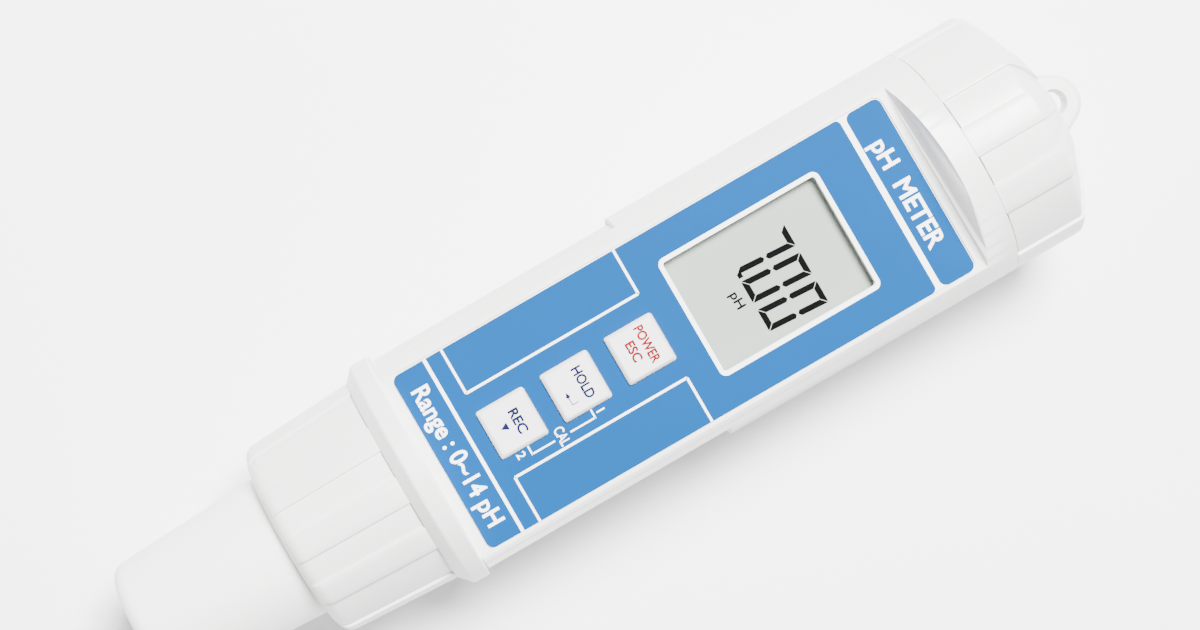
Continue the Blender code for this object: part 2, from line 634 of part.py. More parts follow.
def make_signal_path():
    """The socket that takes the electrode's pin, and the lead from it to the board."""
    radius = SOCKET_BORE - GAP
    socket = [(-29.5, radius), (-35.7, radius), (-35.7, 1.6), (-29.5, 1.6)]
    as_part(turned("signal_socket", socket, MIDDLE_SEGMENTS), "black_plastic")
    points = [(-28.6, 0.0, -2.0), (-26.6, 0.6, -2.4), (-24.6, 1.6, -1.6), (-23.2, 2.4, 0.6),
              (-22.6, 3.0, 3.0), (-22.4, 3.2, 5.3)]
    as_part(wire("signal_lead", points, 0.6), "red_wire")


clear_scene()
parts = new_collection("ph_meter")
cutters = new_collection("cutters")
make_housing()
make_face_label()
for key_name, key_station in KEY_STATIONS.items():
    make_key(key_name, key_station)
make_display()
make_circuit_board()
make_cells()
make_contacts()
make_battery_cap()
make_electrode()
make_lock_ring()
make_storage_cap()
make_signal_path()
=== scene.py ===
"""A pen-type pH meter for the bench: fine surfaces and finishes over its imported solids."""
import json
import math

import bmesh
import bpy
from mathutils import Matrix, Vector


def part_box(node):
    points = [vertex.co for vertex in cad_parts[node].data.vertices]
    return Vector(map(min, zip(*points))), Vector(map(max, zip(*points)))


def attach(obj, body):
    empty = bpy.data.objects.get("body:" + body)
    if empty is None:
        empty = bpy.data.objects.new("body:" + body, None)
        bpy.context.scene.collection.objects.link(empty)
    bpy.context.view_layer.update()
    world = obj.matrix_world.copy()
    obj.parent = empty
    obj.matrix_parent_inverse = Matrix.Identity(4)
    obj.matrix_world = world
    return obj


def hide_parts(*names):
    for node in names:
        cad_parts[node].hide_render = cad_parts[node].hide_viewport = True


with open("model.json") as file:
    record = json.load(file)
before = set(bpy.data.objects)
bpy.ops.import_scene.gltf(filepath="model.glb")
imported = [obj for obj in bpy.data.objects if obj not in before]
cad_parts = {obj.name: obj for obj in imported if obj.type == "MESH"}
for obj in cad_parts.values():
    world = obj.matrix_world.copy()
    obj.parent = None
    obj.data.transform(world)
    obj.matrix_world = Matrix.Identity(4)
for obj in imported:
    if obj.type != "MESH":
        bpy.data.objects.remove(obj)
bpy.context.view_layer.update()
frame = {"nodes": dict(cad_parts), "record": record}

bl_info = {
    "name": "Pen pH Meter",
    "version": (1, 0, 0),
    "blender": (4, 5, 0),
    "location": "View3D > Sidebar > pH Meter",
    "description": "Builds the visible pieces of a pen-type pH meter",
    "category": "Object",
}

# ---------------------------------------------------------------- places and sizes read from the frame

MM = 0.001
NODE = {name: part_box(name) for name in frame["nodes"]}
JOINT = {joint["name"]: joint for joint in frame["record"]["behaviour"]["joints"]}
AXIS_Z = JOINT["battery_cap_turn"]["pos_m"][2]        # height of the pen's centre line
FACE_UP = 11.75 * MM                                  # flat face above the centre line
BODY_RADIUS = 20.0 * MM
HOUSING_END = -33.2 * MM                              # where the body tube meets the lock ring's collar
CAP_TURN_PITCH = 3.0 * MM
RING_TURN_PITCH = 2.5 * MM
CAP_RIB_ANGLE = -7.5                                  # middle rib, degrees from the front
RING_RIB_ANGLE = 0.0
TINT_DRIFT = 0.95                                     # darker tone of a moulding or film


def span(node, axis):
    """Lowest and highest value of a node along X (0), Y (1) or Z (2), with Z from the centre line."""
    low, high = NODE[node][0][axis], NODE[node][1][axis]
    if axis == 2:
        return low - AXIS_Z, high - AXIS_Z
    return low, high


# ---------------------------------------------------------------- colours and node trees

def linear(hex_colour):
    """A colour written as sRGB hex, as the linear RGBA that shaders use."""
    channels = [int(hex_colour[index:index + 2], 16) / 255 for index in (1, 3, 5)]
    return (*[c / 12.92 if c <= 0.04045 else ((c + 0.055) / 1.055) ** 2.4 for c in channels], 1.0)


def tint(colour):
    """A colour as linear RGBA: from sRGB hex, or from a setting, which is linear already."""
    return linear(colour) if isinstance(colour, str) else (*colour[:3], 1.0)


def darker(colour, share):
    """A colour with this share of its light."""
    return tuple(channel * share for channel in colour[:3])


def grain(size):
    """The texture scale, per metre, whose features are about this many metres across."""
    return 1.0 / size


def add(tree, kind, settings=None, links=None):
    """Add a node, set its properties or its inputs by name, and link sockets into its inputs."""
    node = tree.nodes.new(kind)
    for key, value in (settings or {}).items():
        if isinstance(key, str) and hasattr(node, key):
            setattr(node, key, value)
        else:
            node.inputs[key].default_value = value
    for key, socket in (links or {}).items():
        tree.links.new(socket, node.inputs[key])
    return node


def new_material(name, colour, roughness, metallic=0.0, ior=1.5, extra=None):
    """A material with one Principled shader. Returns the material, its tree, shader and coordinates."""
    material = bpy.data.materials.new(name)
    material.use_nodes = True
    tree = material.node_tree
    shader = tree.nodes["Principled BSDF"]
    shader.inputs["Base Color"].default_value = tint(colour)
    shader.inputs["Roughness"].default_value = roughness
    shader.inputs["Metallic"].default_value = metallic
    shader.inputs["IOR"].default_value = ior
    for key, value in (extra or {}).items():
        shader.inputs[key].default_value = value
    coordinates = add(tree, "ShaderNodeTexCoord").outputs["Object"]
    return material, tree, shader, coordinates


def vary_colour(tree, shader, coordinates, light, dark, size, detail=3.0):
    """Let the colour drift between two tones in soft patches of the given size."""
    noise = add(tree, "ShaderNodeTexNoise", {"Scale": grain(size), "Detail": detail},
                {"Vector": coordinates})
    mix = add(tree, "ShaderNodeMix", {"data_type": "RGBA", 6: tint(dark), 7: tint(light)},
              {0: noise.outputs["Fac"]})
    tree.links.new(mix.outputs[2], shader.inputs["Base Color"])


def vary_roughness(tree, shader, coordinates, low, high, size):
    """Let the gloss drift between two roughness values."""
    noise = add(tree, "ShaderNodeTexNoise", {"Scale": grain(size), "Detail": 4.0},
                {"Vector": coordinates})
    spread = add(tree, "ShaderNodeMapRange", {"From Min": 0.3, "From Max": 0.7, "To Min": low, "To Max": high},
                 {"Value": noise.outputs["Fac"]})
    tree.links.new(spread.outputs["Result"], shader.inputs["Roughness"])


def raise_grain(tree, shader, coordinates, size, height, strength=1.0, kind="ShaderNodeTexNoise"):
    """Bump of the given grain size and height, both in metres."""
    texture = add(tree, kind, {"Scale": grain(size)}, {"Vector": coordinates})
    output = texture.outputs["Fac"] if "Fac" in texture.outputs else texture.outputs["Distance"]
    bump = add(tree, "ShaderNodeBump", {"Strength": strength, "Distance": height}, {"Height": output})
    tree.links.new(bump.outputs["Normal"], shader.inputs["Normal"])


# ---------------------------------------------------------------- materials

def moulded_abs(colour):
    """ABS injected into a spark-eroded mould: near-white, with a fine satin grain."""
    material, tree, shader, place = new_material("moulded_white_abs", colour, 0.4, ior=1.53)
    vary_colour(tree, shader, place, colour, darker(colour, TINT_DRIFT), 9 * MM)
    vary_roughness(tree, shader, place, 0.32, 0.42, 5 * MM)
    # Mould grain is about 0.05 mm; 0.35 mm is the finest that still shows.
    raise_grain(tree, shader, place, 0.35 * MM, 0.02 * MM, 0.6)
    return material


def moulded_polyethylene():
    """Low-density polyethylene: waxy, slightly see-through white with a soft sheen."""
    material, tree, shader, place = new_material(
        "moulded_polyethylene", "#F0F1EF", 0.42, ior=1.51,
        extra={"Subsurface Weight": 0.15, "Subsurface Radius": (2 * MM, 2 * MM, 1.6 * MM),
               "Subsurface Scale": 1.0})
    vary_colour(tree, shader, place, "#F3F4F2", "#ECEDEA", 12 * MM)
    vary_roughness(tree, shader, place, 0.36, 0.5, 4 * MM)
    raise_grain(tree, shader, place, 0.6 * MM, 0.015 * MM, 0.4)
    return material


def label_film(name, light):
    """Screen-printed polycarbonate film: an even ink under a fine matt texture."""
    material, tree, shader, place = new_material(name, light, 0.5, ior=1.58,
                                                 extra={"Specular IOR Level": 0.02})
    vary_colour(tree, shader, place, light, darker(light, TINT_DRIFT), 6 * MM)
    # The film's texture is about 0.03 mm; it is drawn at 0.25 mm so that it shows.
    raise_grain(tree, shader, place, 0.25 * MM, 0.004 * MM, 0.35)
    return material


def printing_ink(name, light):
    """Solvent ink laid over film or rubber: flat colour, slightly matt, with faint density change."""
    material, tree, shader, place = new_material(name, light, 0.55, ior=1.5,
                                                 extra={"Specular IOR Level": 0.02})
    vary_colour(tree, shader, place, light, darker(light, 0.88), 0.9 * MM)
    return material


def silicone_rubber(colour):
    """Coloured silicone keys: light grey, soft and dull, with a powdery bloom."""
    material, tree, shader, place = new_material(
        "grey_silicone_rubber", colour, 0.52, ior=1.43,
        extra={"Sheen Weight": 0.15, "Sheen Roughness": 0.5})
    vary_colour(tree, shader, place, colour, darker(colour, 0.91), 2.5 * MM)
    raise_grain(tree, shader, place, 0.3 * MM, 0.01 * MM, 0.5)
    return material


def clear_acrylic():
    """Cast acrylic window: almost invisible, with a sharp surface gloss."""
    material, tree, shader, place = new_material(
        "clear_acrylic", "#0B0D0D", 0.06, ior=1.3, extra={"Alpha": 0.06})
    vary_roughness(tree, shader, place, 0.04, 0.09, 8 * MM)
    return material


def display_back(colour):
    """Liquid crystal over a matt reflector: grey-green, with a faint even sparkle."""
    material, tree, shader, place = new_material("display_reflector", colour, 0.6, ior=1.2)
    vary_colour(tree, shader, place, colour, darker(colour, TINT_DRIFT), 0.4 * MM, 1.0)
    return material


def black_moulding(name, tone, roughness, size):
    """Glass-filled black nylon or chip epoxy: dark, with a coarse matt grain."""
    material, tree, shader, place = new_material(name, tone, roughness, ior=1.53)
    vary_colour(tree, shader, place, tone, "#101112", 3 * MM)
    raise_grain(tree, shader, place, size, 0.02 * MM, 0.6)
    return material


def solder_mask():
    """Green epoxy mask over woven glass laminate, with the copper tracks showing as lighter lines."""
    material, tree, shader, place = new_material("solder_masked_laminate", "#0E5A33", 0.32, ior=1.55)
    # Tracks are 0.25 mm wide on a 1.27 mm grid, which a brick pattern gives.
    bricks = add(tree, "ShaderNodeTexBrick",
                 {"Scale": grain(1.0), "Mortar Size": 0.12 * MM, "Brick Width": 7.6 * MM,
                  "Row Height": 1.27 * MM,
                  "Color1": linear("#0E5A33"), "Color2": linear("#0C5230"), "Mortar": linear("#2B8A52")},
                 {"Vector": place})
    tree.links.new(bricks.outputs["Color"], shader.inputs["Base Color"])
    return material


def plated_metal(name, light, dark, roughness, size):
    """Electroplated sheet or wire: bright metal with faint rubbing marks."""
    material, tree, shader, place = new_material(name, light, roughness, metallic=1.0)
    vary_colour(tree, shader, place, light, dark, size)
    vary_roughness(tree, shader, place, roughness - 0.08, roughness + 0.1, size / 2)
    return material


def cell_jacket():
    """Shrink-printed steel can: dark lacquer with a copper-coloured band at the button end."""
    material, tree, shader, place = new_material("lacquered_steel_can", "#24272C", 0.28, metallic=0.35)
    separate = add(tree, "ShaderNodeSeparateXYZ", links={"Vector": place})
    high = span("battery_1", 0)[1]
    band = add(tree, "ShaderNodeMapRange",
               {"From Min": high - 14 * MM, "From Max": high - 13.6 * MM}, {"Value": separate.outputs["X"]})
    mix = add(tree, "ShaderNodeMix", {"data_type": "RGBA", 6: linear("#24272C"), 7: linear("#B4702E")},
              {0: band.outputs["Result"]})
    tree.links.new(mix.outputs[2], shader.inputs["Base Color"])
    vary_roughness(tree, shader, place, 0.22, 0.34, 3 * MM)
    return material


def nitrile_rubber():
    """Moulded nitrile sealing ring: black, matt, with a greasy highlight."""
    material, tree, shader, place = new_material("nitrile_rubber", "#1B1C1D", 0.6, ior=1.52)
    vary_colour(tree, shader, place, "#222324", "#151617", 2 * MM)
    raise_grain(tree, shader, place, 0.2 * MM, 0.008 * MM, 0.6)
    return material


def sensor_epoxy():
    """Cast dark epoxy tube of the electrode: smooth, faintly blue-grey."""
    material, tree, shader, place = new_material("cast_epoxy", "#3A4048", 0.25, ior=1.55)
    vary_colour(tree, shader, place, "#414751", "#333940", 5 * MM)
    vary_roughness(tree, shader, place, 0.2, 0.32, 2 * MM)
    return material


def bulb_glass():
    """Thin lithium glass: clear and very glossy, with a hint of green."""
    material, tree, shader, place = new_material(
        "thin_lithium_glass", "#E3F0EC", 0.04, ior=1.52, extra={"Alpha": 0.35})
    vary_roughness(tree, shader, place, 0.02, 0.06, 3 * MM)
    return material


def porous_ceramic():
    """Sintered ceramic junction: off-white, dull and finely pitted."""
    material, tree, shader, place = new_material("sintered_ceramic", "#DDD8CC", 0.85, ior=1.6)
    vary_colour(tree, shader, place, "#E3DED2", "#CBC4B6", 0.5 * MM)
    raise_grain(tree, shader, place, 0.25 * MM, 0.03 * MM, 0.8)
    return material


def cellulose_sponge():
    """Damp cellulose sponge: straw-coloured with open pores about 0.8 mm across, their pits darkened by painted
    shade.
    """
    material, tree, shader, place = new_material("cellulose_sponge", "#E2CC78", 0.9, ior=1.4)
    pores = add(tree, "ShaderNodeTexVoronoi", {"Scale": grain(0.8 * MM)}, {"Vector": place})
    # Painted shade: the colour darkens towards each pore's middle, where the bump sinks the surface.
    pore_shade = add(tree, "ShaderNodeValToRGB", links={"Fac": pores.outputs["Distance"]})
    pore_shade.color_ramp.elements[0].color = linear("#8F7A38")
    pore_shade.color_ramp.elements[1].color = linear("#E6D288")
    pore_shade.color_ramp.elements[1].position = 0.45
    bump = add(tree, "ShaderNodeBump", {"Strength": 0.9, "Distance": 0.3 * MM},
               {"Height": pores.outputs["Distance"]})
    tree.links.new(pore_shade.outputs["Color"], shader.inputs["Base Color"])
    tree.links.new(bump.outputs["Normal"], shader.inputs["Normal"])
    return material


def wire_insulation():
    """Soft PVC wire jacket: red with an oily gloss."""
    material, tree, shader, place = new_material("red_pvc_jacket", "#B3202A", 0.35, ior=1.53)
    vary_colour(tree, shader, place, "#BA2630", "#A21A24", 1.5 * MM)
    return material


def bench_top():
    """Plain pale matt laminate under the meter."""
    material, tree, shader, place = new_material("pale_laminate", "#FBFBFC", 0.6, ior=1.5)
    vary_colour(tree, shader, place, "#FCFCFD", "#F9F9FA", 60 * MM)
    return material


MATERIALS = {}


def make_materials():
    """Make every finish once and keep it by a short name."""
    colours = bpy.context.scene.meter_colours
    MATERIALS.update({
        "abs": moulded_abs(colours.body),
        "polyethylene": moulded_polyethylene(),
        "film_white": label_film("printed_white_film", colours.label_border),
        "film_blue": label_film("printed_blue_film", colours.label_panel),
        "ink_white": printing_ink("white_ink", colours.label_letters),
        "ink_navy": printing_ink("navy_ink", colours.key_letters),
        "ink_red": printing_ink("red_ink", colours.power_letters),
        "ink_black": printing_ink("switched_crystal", colours.digits),
        "silicone": silicone_rubber(colours.keys),
        "acrylic": clear_acrylic(),
        "display": display_back(colours.display),
        "black_nylon": black_moulding("glass_filled_nylon", "#1D1E20", 0.5, 0.25 * MM),
        "chip_epoxy": black_moulding("chip_epoxy", "#222426", 0.6, 0.12 * MM),
        "board": solder_mask(),
        "steel": plated_metal("zinc_plated_steel", "#C9CCCE", "#B2B6B9", 0.32, 2 * MM),
        "brass": plated_metal("gilded_brass", "#D8AE5A", "#C39A48", 0.26, 2 * MM),
        "silver": plated_metal("drawn_silver", "#E4E3DE", "#CFCEC8", 0.22, 1 * MM),
        "cell": cell_jacket(),
        "nitrile": nitrile_rubber(),
        "epoxy": sensor_epoxy(),
        "bulb": bulb_glass(),
        "ceramic": porous_ceramic(),
        "sponge": cellulose_sponge(),
        "jacket": wire_insulation(),
        "bench": bench_top(),
    })


# ---------------------------------------------------------------- mesh helpers

def from_axis(x, y, z):
    """A point given from the pen's centre line, in the row frame."""
    return (x, y, z + AXIS_Z)


def mesh_object(name, bm, sharp=30.0):
    """Link a finished bmesh as an object at the origin, smooth with sharp edges kept."""
    mesh = bpy.data.meshes.new(name)
    bm.to_mesh(mesh)
    bm.free()
    mesh.shade_smooth()
    mesh.set_sharp_from_angle(angle=math.radians(sharp))
    obj = bpy.data.objects.new(name, mesh)
    bpy.context.scene.collection.objects.link(obj)
    return obj


def settle(obj, sharp=30.0):
    """Keep an object's evaluated result as its plain mesh, without modifiers; shade it if given an angle."""
    bpy.context.view_layer.update()
    evaluated = obj.evaluated_get(bpy.context.evaluated_depsgraph_get())
    mesh = bpy.data.meshes.new_from_object(evaluated)
    obj.modifiers.clear()
    old = obj.data
    obj.data = mesh
    if old.users == 0:
        bpy.data.meshes.remove(old)
    if sharp:
        mesh.shade_smooth()
        mesh.set_sharp_from_angle(angle=math.radians(sharp))
    return obj


def keep(obj, material, body, slot, *nodes):
    """Give a piece its finish and its body, and hide the solids that it stands for; the slot is not used."""
    obj.data.materials.clear()
    obj.data.materials.append(MATERIALS[material])
    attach(obj, body)
    if nodes:
        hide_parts(*nodes)
    return obj


def fillet(corners, steps=5):
    """Round a profile's corners. Each corner is (station, radius) or (station, radius, rounding)."""
    rounded = []
    for index, corner in enumerate(corners):
        here = Vector(corner[:2])
        rounding = corner[2] if len(corner) > 2 else 0.0
        if rounding == 0.0 or index in (0, len(corners) - 1):
            rounded.append(here)
            continue
        before = (Vector(corners[index - 1][:2]) - here).normalized()
        after = (Vector(corners[index + 1][:2]) - here).normalized()
        half = before.angle(after) / 2
        reach = rounding / math.tan(half)
        centre = here + (before + after).normalized() * rounding / math.sin(half)
        first = here + before * reach - centre
        last = here + after * reach - centre
        for step in range(steps + 1):
            rounded.append(centre + first.slerp(last, step / steps).normalized() * rounding)
    return [(point.x, point.y) for point in rounded]


def lathe_mesh(profile, segments=160):
    """A closed turned surface about the pen's centre line; radii of 0 become a single pole."""
    bm = bmesh.new()
    rings = []
    for station, radius in profile:
        if radius < 1e-7:
            rings.append([bm.verts.new(from_axis(station, 0.0, 0.0))])
            continue
        ring = []
        for index in range(segments):
            angle = 2 * math.pi * (index + 0.5) / segments
            ring.append(bm.verts.new(from_axis(station, radius * math.sin(angle), radius * math.cos(angle))))
        rings.append(ring)
    pairs = list(zip(rings, rings[1:]))
    if len(rings[0]) > 1:
        pairs.append((rings[-1], rings[0]))
    for first, second in pairs:
        for index in range(segments):
            after = (index + 1) % segments
            corners = [first[index % len(first)], first[after % len(first)],
                       second[after % len(second)], second[index % len(second)]]
            bm.faces.new(list(dict.fromkeys(corners)))
    bmesh.ops.recalc_face_normals(bm, faces=bm.faces)
    return bm


def lathe(name, corners, segments=160, steps=5):
    """A turned piece from a profile with rounded corners."""
    return mesh_object(name, lathe_mesh(fillet(corners, steps), segments))


def rounded_outline(x, y, rounding, steps=6):
    """A rectangle with rounded corners, from the +X +Y corner round; rounding may differ at each corner."""
    radii = rounding if isinstance(rounding, tuple) else (rounding,) * 4
    points = []
    corners = ((x[1], y[1], -1, -1), (x[0], y[1], 1, -1), (x[0], y[0], 1, 1), (x[1], y[0], -1, 1))
    for index, (radius, (corner_x, corner_y, side_x, side_y)) in enumerate(zip(radii, corners)):
        if radius == 0.0:
            points.append((corner_x, corner_y))
            continue
        for step in range(steps + 1):
            angle = math.pi / 2 * (index + step / steps)
            points.append((corner_x + radius * (side_x + math.cos(angle)),
                           corner_y + radius * (side_y + math.sin(angle))))
    return points


def rings_mesh(rings):
    """Join rings of points, all with as many points, into one closed shape."""
    bm = bmesh.new()
    rows = [[bm.verts.new(point) for point in ring] for ring in rings]
    count = len(rows[0])
    for first, second in zip(rows, rows[1:]):
        for index in range(count):
            after = (index + 1) % count
            bm.faces.new((first[index], first[after], second[after], second[index]))
    bm.faces.new(rows[0])
    bm.faces.new(rows[-1])
    bmesh.ops.recalc_face_normals(bm, faces=bm.faces)
    return bm


def prism_mesh(sections):
    """Join outlines, each given with its height, into one closed shape."""
    return rings_mesh([[from_axis(x, y, height) for x, y in outline] for outline, height in sections])


def plate(name, outline, low, high):
    """A flat piece of the given outline between two heights."""
    return mesh_object(name, prism_mesh([(outline, low), (outline, high)]))


def side_prism_mesh(outline, low, high):
    """An outline in the XZ plane, given a width along Y."""
    return rings_mesh([[from_axis(x, y, z) for x, z in outline] for y in (low, high)])


def carve(obj, tools, operation="DIFFERENCE"):
    """Cut an object by each tool in turn, or join the tools to it, and remove them."""
    for tool in tools:
        modifier = obj.modifiers.new(tool.name, "BOOLEAN")
        modifier.operation = operation
        modifier.solver = "EXACT"
        modifier.object = tool
    settle(obj)
    for tool in tools:
        bpy.data.objects.remove(tool, do_unlink=True)
    return obj


def ease_edges(obj, width, segments=2, angle=35.0):
    """Break the sharp edges of a piece, as a mould does."""
    obj.data.set_sharp_from_angle(angle=math.pi)
    bevel = obj.modifiers.new("Bevel", "BEVEL")
    bevel.width = width
    bevel.segments = segments
    bevel.limit_method = "ANGLE"
    bevel.angle_limit = math.radians(angle)
    obj.modifiers.new("Weighted Normal", "WEIGHTED_NORMAL")
    return settle(obj, sharp=None)


def flattened_rod(start, end, radius, top, segments=96):
    """A round bar along the pen whose front is cut off flat."""
    bm = lathe_mesh([(start, 0.0), (start, radius), (end, radius), (end, 0.0)], segments)
    everything = bm.verts[:] + bm.edges[:] + bm.faces[:]
    cut = bmesh.ops.bisect_plane(bm, geom=everything, plane_co=from_axis(0.0, 0.0, top),
                                 plane_no=(0.0, 0.0, 1.0), clear_outer=True)
    rim = [item for item in cut["geom_cut"] if isinstance(item, bmesh.types.BMEdge)]
    bmesh.ops.edgeloop_fill(bm, edges=rim)
    return mesh_object("flattened_rod", bm)


# ---------------------------------------------------------------- geometry node trees

def new_tree(name, inputs):
    """An empty geometry tree with a geometry input and output and the named inputs."""
    tree = bpy.data.node_groups.new(name, "GeometryNodeTree")
    tree.interface.new_socket("Geometry", in_out="INPUT", socket_type="NodeSocketGeometry")
    tree.interface.new_socket("Geometry", in_out="OUTPUT", socket_type="NodeSocketGeometry")
    for label, kind in inputs:
        tree.interface.new_socket(label, in_out="INPUT", socket_type="NodeSocket" + kind)
    return tree, add(tree, "NodeGroupInput").outputs, add(tree, "NodeGroupOutput")


def end_tree(tree, geometry, given, result):
    """Make the instances real, give them the material and pass them out."""
    real = add(tree, "GeometryNodeRealizeInstances", links={"Geometry": geometry})
    finish = add(tree, "GeometryNodeSetMaterial",
                 links={"Geometry": real.outputs["Geometry"], "Material": given["Material"]})
    tree.links.new(finish.outputs["Geometry"], result.inputs[0])
    return tree


def run_tree(obj, tree, values):
    """Run a tree on an object with named values and keep the plain mesh."""
    modifier = obj.modifiers.new(tree.name, "NODES")
    modifier.node_group = tree
    for item in tree.interface.items_tree:
        if item.in_out == "INPUT" and item.name in values:
            modifier[item.identifier] = values[item.name]
    return settle(obj)


def ring_array_tree():
    """Copies of a piece spaced evenly round the pen's centre line."""
    tree, given, result = new_tree("ring_array", [("Count", "Int"), ("First Angle", "Float"),
                                                  ("Axis Height", "Float"), ("Material", "Material")])
    points = add(tree, "GeometryNodeMeshLine", {"Offset": (0.0, 0.0, 0.0)}, {"Count": given["Count"]})
    index = add(tree, "GeometryNodeInputIndex")
    step = add(tree, "ShaderNodeMath", {"operation": "DIVIDE", 0: 2 * math.pi}, {1: given["Count"]})
    turn = add(tree, "ShaderNodeMath", {"operation": "MULTIPLY_ADD"},
               {0: index.outputs[0], 1: step.outputs[0], 2: given["First Angle"]})
    rotation = add(tree, "ShaderNodeCombineXYZ", links={"X": turn.outputs[0]})
    height = add(tree, "ShaderNodeCombineXYZ", links={"Z": given["Axis Height"]})
    drop = add(tree, "ShaderNodeVectorMath", {"operation": "SCALE", "Scale": -1.0}, {0: height.outputs[0]})
    lowered = add(tree, "GeometryNodeTransform",
                  links={"Geometry": given["Geometry"], "Translation": drop.outputs[0]})
    copies = add(tree, "GeometryNodeInstanceOnPoints",
                 links={"Points": points.outputs["Mesh"], "Instance": lowered.outputs["Geometry"],
                        "Rotation": rotation.outputs[0]})
    lifted = add(tree, "GeometryNodeTransform",
                 links={"Geometry": copies.outputs["Instances"], "Translation": height.outputs[0]})
    return end_tree(tree, lifted.outputs["Geometry"], given, result)


def thread_tree():
    """A screw thread: a spiral about the pen's centre line with a three-sided ridge along it."""
    tree, given, result = new_tree("screw_thread", [("Radius", "Float"), ("Turns", "Float"),
                                                    ("Length", "Float"), ("Ridge", "Float"),
                                                    ("Start", "Float"), ("Axis Height", "Float"),
                                                    ("Material", "Material")])
    spiral = add(tree, "GeometryNodeCurveSpiral", {"Resolution": 64},
                 {"Rotations": given["Turns"], "Start Radius": given["Radius"],
                  "End Radius": given["Radius"], "Height": given["Length"]})
    ridge = add(tree, "GeometryNodeCurvePrimitiveCircle", {"Resolution": 6}, {"Radius": given["Ridge"]})
    swept = add(tree, "GeometryNodeCurveToMesh", {"Fill Caps": True},
                {"Curve": spiral.outputs["Curve"], "Profile Curve": ridge.outputs["Curve"]})
    along = add(tree, "ShaderNodeCombineXYZ", links={"X": given["Start"], "Z": given["Axis Height"]})
    laid = add(tree, "GeometryNodeTransform", {"Rotation": (0.0, math.pi / 2, 0.0)},
               {"Geometry": swept.outputs["Mesh"], "Translation": along.outputs[0]})
    return end_tree(tree, laid.outputs["Geometry"], given, result)


def row_array_tree():
    """Copies of a piece spaced evenly along a straight line."""
    tree, given, result = new_tree("row_array", [("Count", "Int"), ("Spacing", "Vector"),
                                                 ("Material", "Material")])
    points = add(tree, "GeometryNodeMeshLine", links={"Count": given["Count"], "Offset": given["Spacing"]})
    copies = add(tree, "GeometryNodeInstanceOnPoints",
                 links={"Points": points.outputs["Mesh"], "Instance": given["Geometry"]})
    return end_tree(tree, copies.outputs["Instances"], given, result)


TREES = {}


def make_trees():
    """Make each geometry tree once."""
    TREES.update({"ring": ring_array_tree(), "thread": thread_tree(), "row": row_array_tree()})


def thread(name, start, length, radius, ridge, pitch, body, slot, material="abs"):
    """A raised screw thread on a neck."""
    base = mesh_object(name, bmesh.new())
    run_tree(base, TREES["thread"],
             {"Radius": radius, "Turns": length / pitch, "Length": length, "Ridge": ridge, "Start": start,
              "Axis Height": AXIS_Z, "Material": MATERIALS[material]})
    return keep(base, material, body, slot)


# ---------------------------------------------------------------- lettering

CAPITAL_HEIGHT = 0.682          # height of a capital in the built-in typeface at size 1


def letters_mesh(text, cap_height, boldness):
    """Flat letters as a mesh about their own middle: reading along +X, upright along +Y."""
    curve = bpy.data.curves.new("letters", "FONT")
    curve.body = text
    curve.align_x = "CENTER"
    curve.size = cap_height / CAPITAL_HEIGHT
    curve.bevel_depth = boldness * cap_height
    curve.bevel_resolution = 1
    curve.fill_mode = "BOTH"
    curve.extrude = 0.01 * MM
    curve.resolution_u = 4
    holder = bpy.data.objects.new("letters", curve)
    bpy.context.scene.collection.objects.link(holder)
    bpy.context.view_layer.update()
    evaluated = holder.evaluated_get(bpy.context.evaluated_depsgraph_get())
    bm = bmesh.new()
    flat = bpy.data.meshes.new_from_object(evaluated)
    bm.from_mesh(flat)
    bpy.data.meshes.remove(flat)
    bpy.data.objects.remove(holder, do_unlink=True)
    bpy.data.curves.remove(curve)
    bmesh.ops.remove_doubles(bm, verts=bm.verts, dist=1e-7)
    thick = max(vert.co.z for vert in bm.verts)
    bmesh.ops.scale(bm, vec=(1.0, 1.0, 0.01 * MM / thick), verts=bm.verts)
    return bm


def lettering(name, text, centre, height, cap_height, material, body, slot, length=None, boldness=0.02):
    """Printed letters on the front: upright towards the battery cap, read towards -Y."""
    bm = letters_mesh(text, cap_height, boldness)
    xs = [vert.co.x for vert in bm.verts]
    stretch = length / (max(xs) - min(xs)) if length else 1.0
    middle = (max(xs) + min(xs)) / 2
    for vert in bm.verts:
        across, up, lift = vert.co
        vert.co = from_axis(centre[0] + up - cap_height / 2, centre[1] - (across - middle) * stretch,
                            height + lift)
    return keep(mesh_object(name, bm), material, body, slot)


def marking(name, outline, height, material, body, slot, thickness=0.02 * MM):
    """A printed shape: a thin plate whose outline is given on the front face."""
    return keep(plate(name, outline, height, height + thickness), material, body, slot)


def bar(x, y):
    """The outline of a printed straight line, given as ranges."""
    return [(x[0], y[0]), (x[1], y[0]), (x[1], y[1]), (x[0], y[1])]


# ---------------------------------------------------------------- sizes that a user may change

LENGTH = {"unit": "LENGTH", "precision": 5}


def picker(name, description, hex_colour):
    """A colour setting with its default given as sRGB hex."""
    return bpy.props.FloatVectorProperty(name=name, description=description, default=linear(hex_colour)[:3],
                                         min=0.0, max=1.0, size=3, subtype="COLOR")


class MeterColours(bpy.types.PropertyGroup):
    """Colours of the mouldings, the label and the printing."""
    body: picker("Body", "White of the body, the battery cap and the lock ring", "#E3E2E0")
    label_border: picker("Label border", "White border of the front label", "#F7F9FB")
    label_panel: picker("Label panel", "Blue of the front label", "#004074")
    label_letters: picker("Label letters", "Lettering and lines on the label", "#FDFEFF")
    keys: picker("Keys", "Rubber of the push keys", "#E2E0E1")
    key_letters: picker("Key letters", "Dark lettering on the keys", "#16183C")
    power_letters: picker("Power letters", "Red lettering on the power key", "#780510")
    display: picker("Display", "Background of the display", "#A2ABA1")
    digits: picker("Digits", "Switched segments of the display", "#070708")


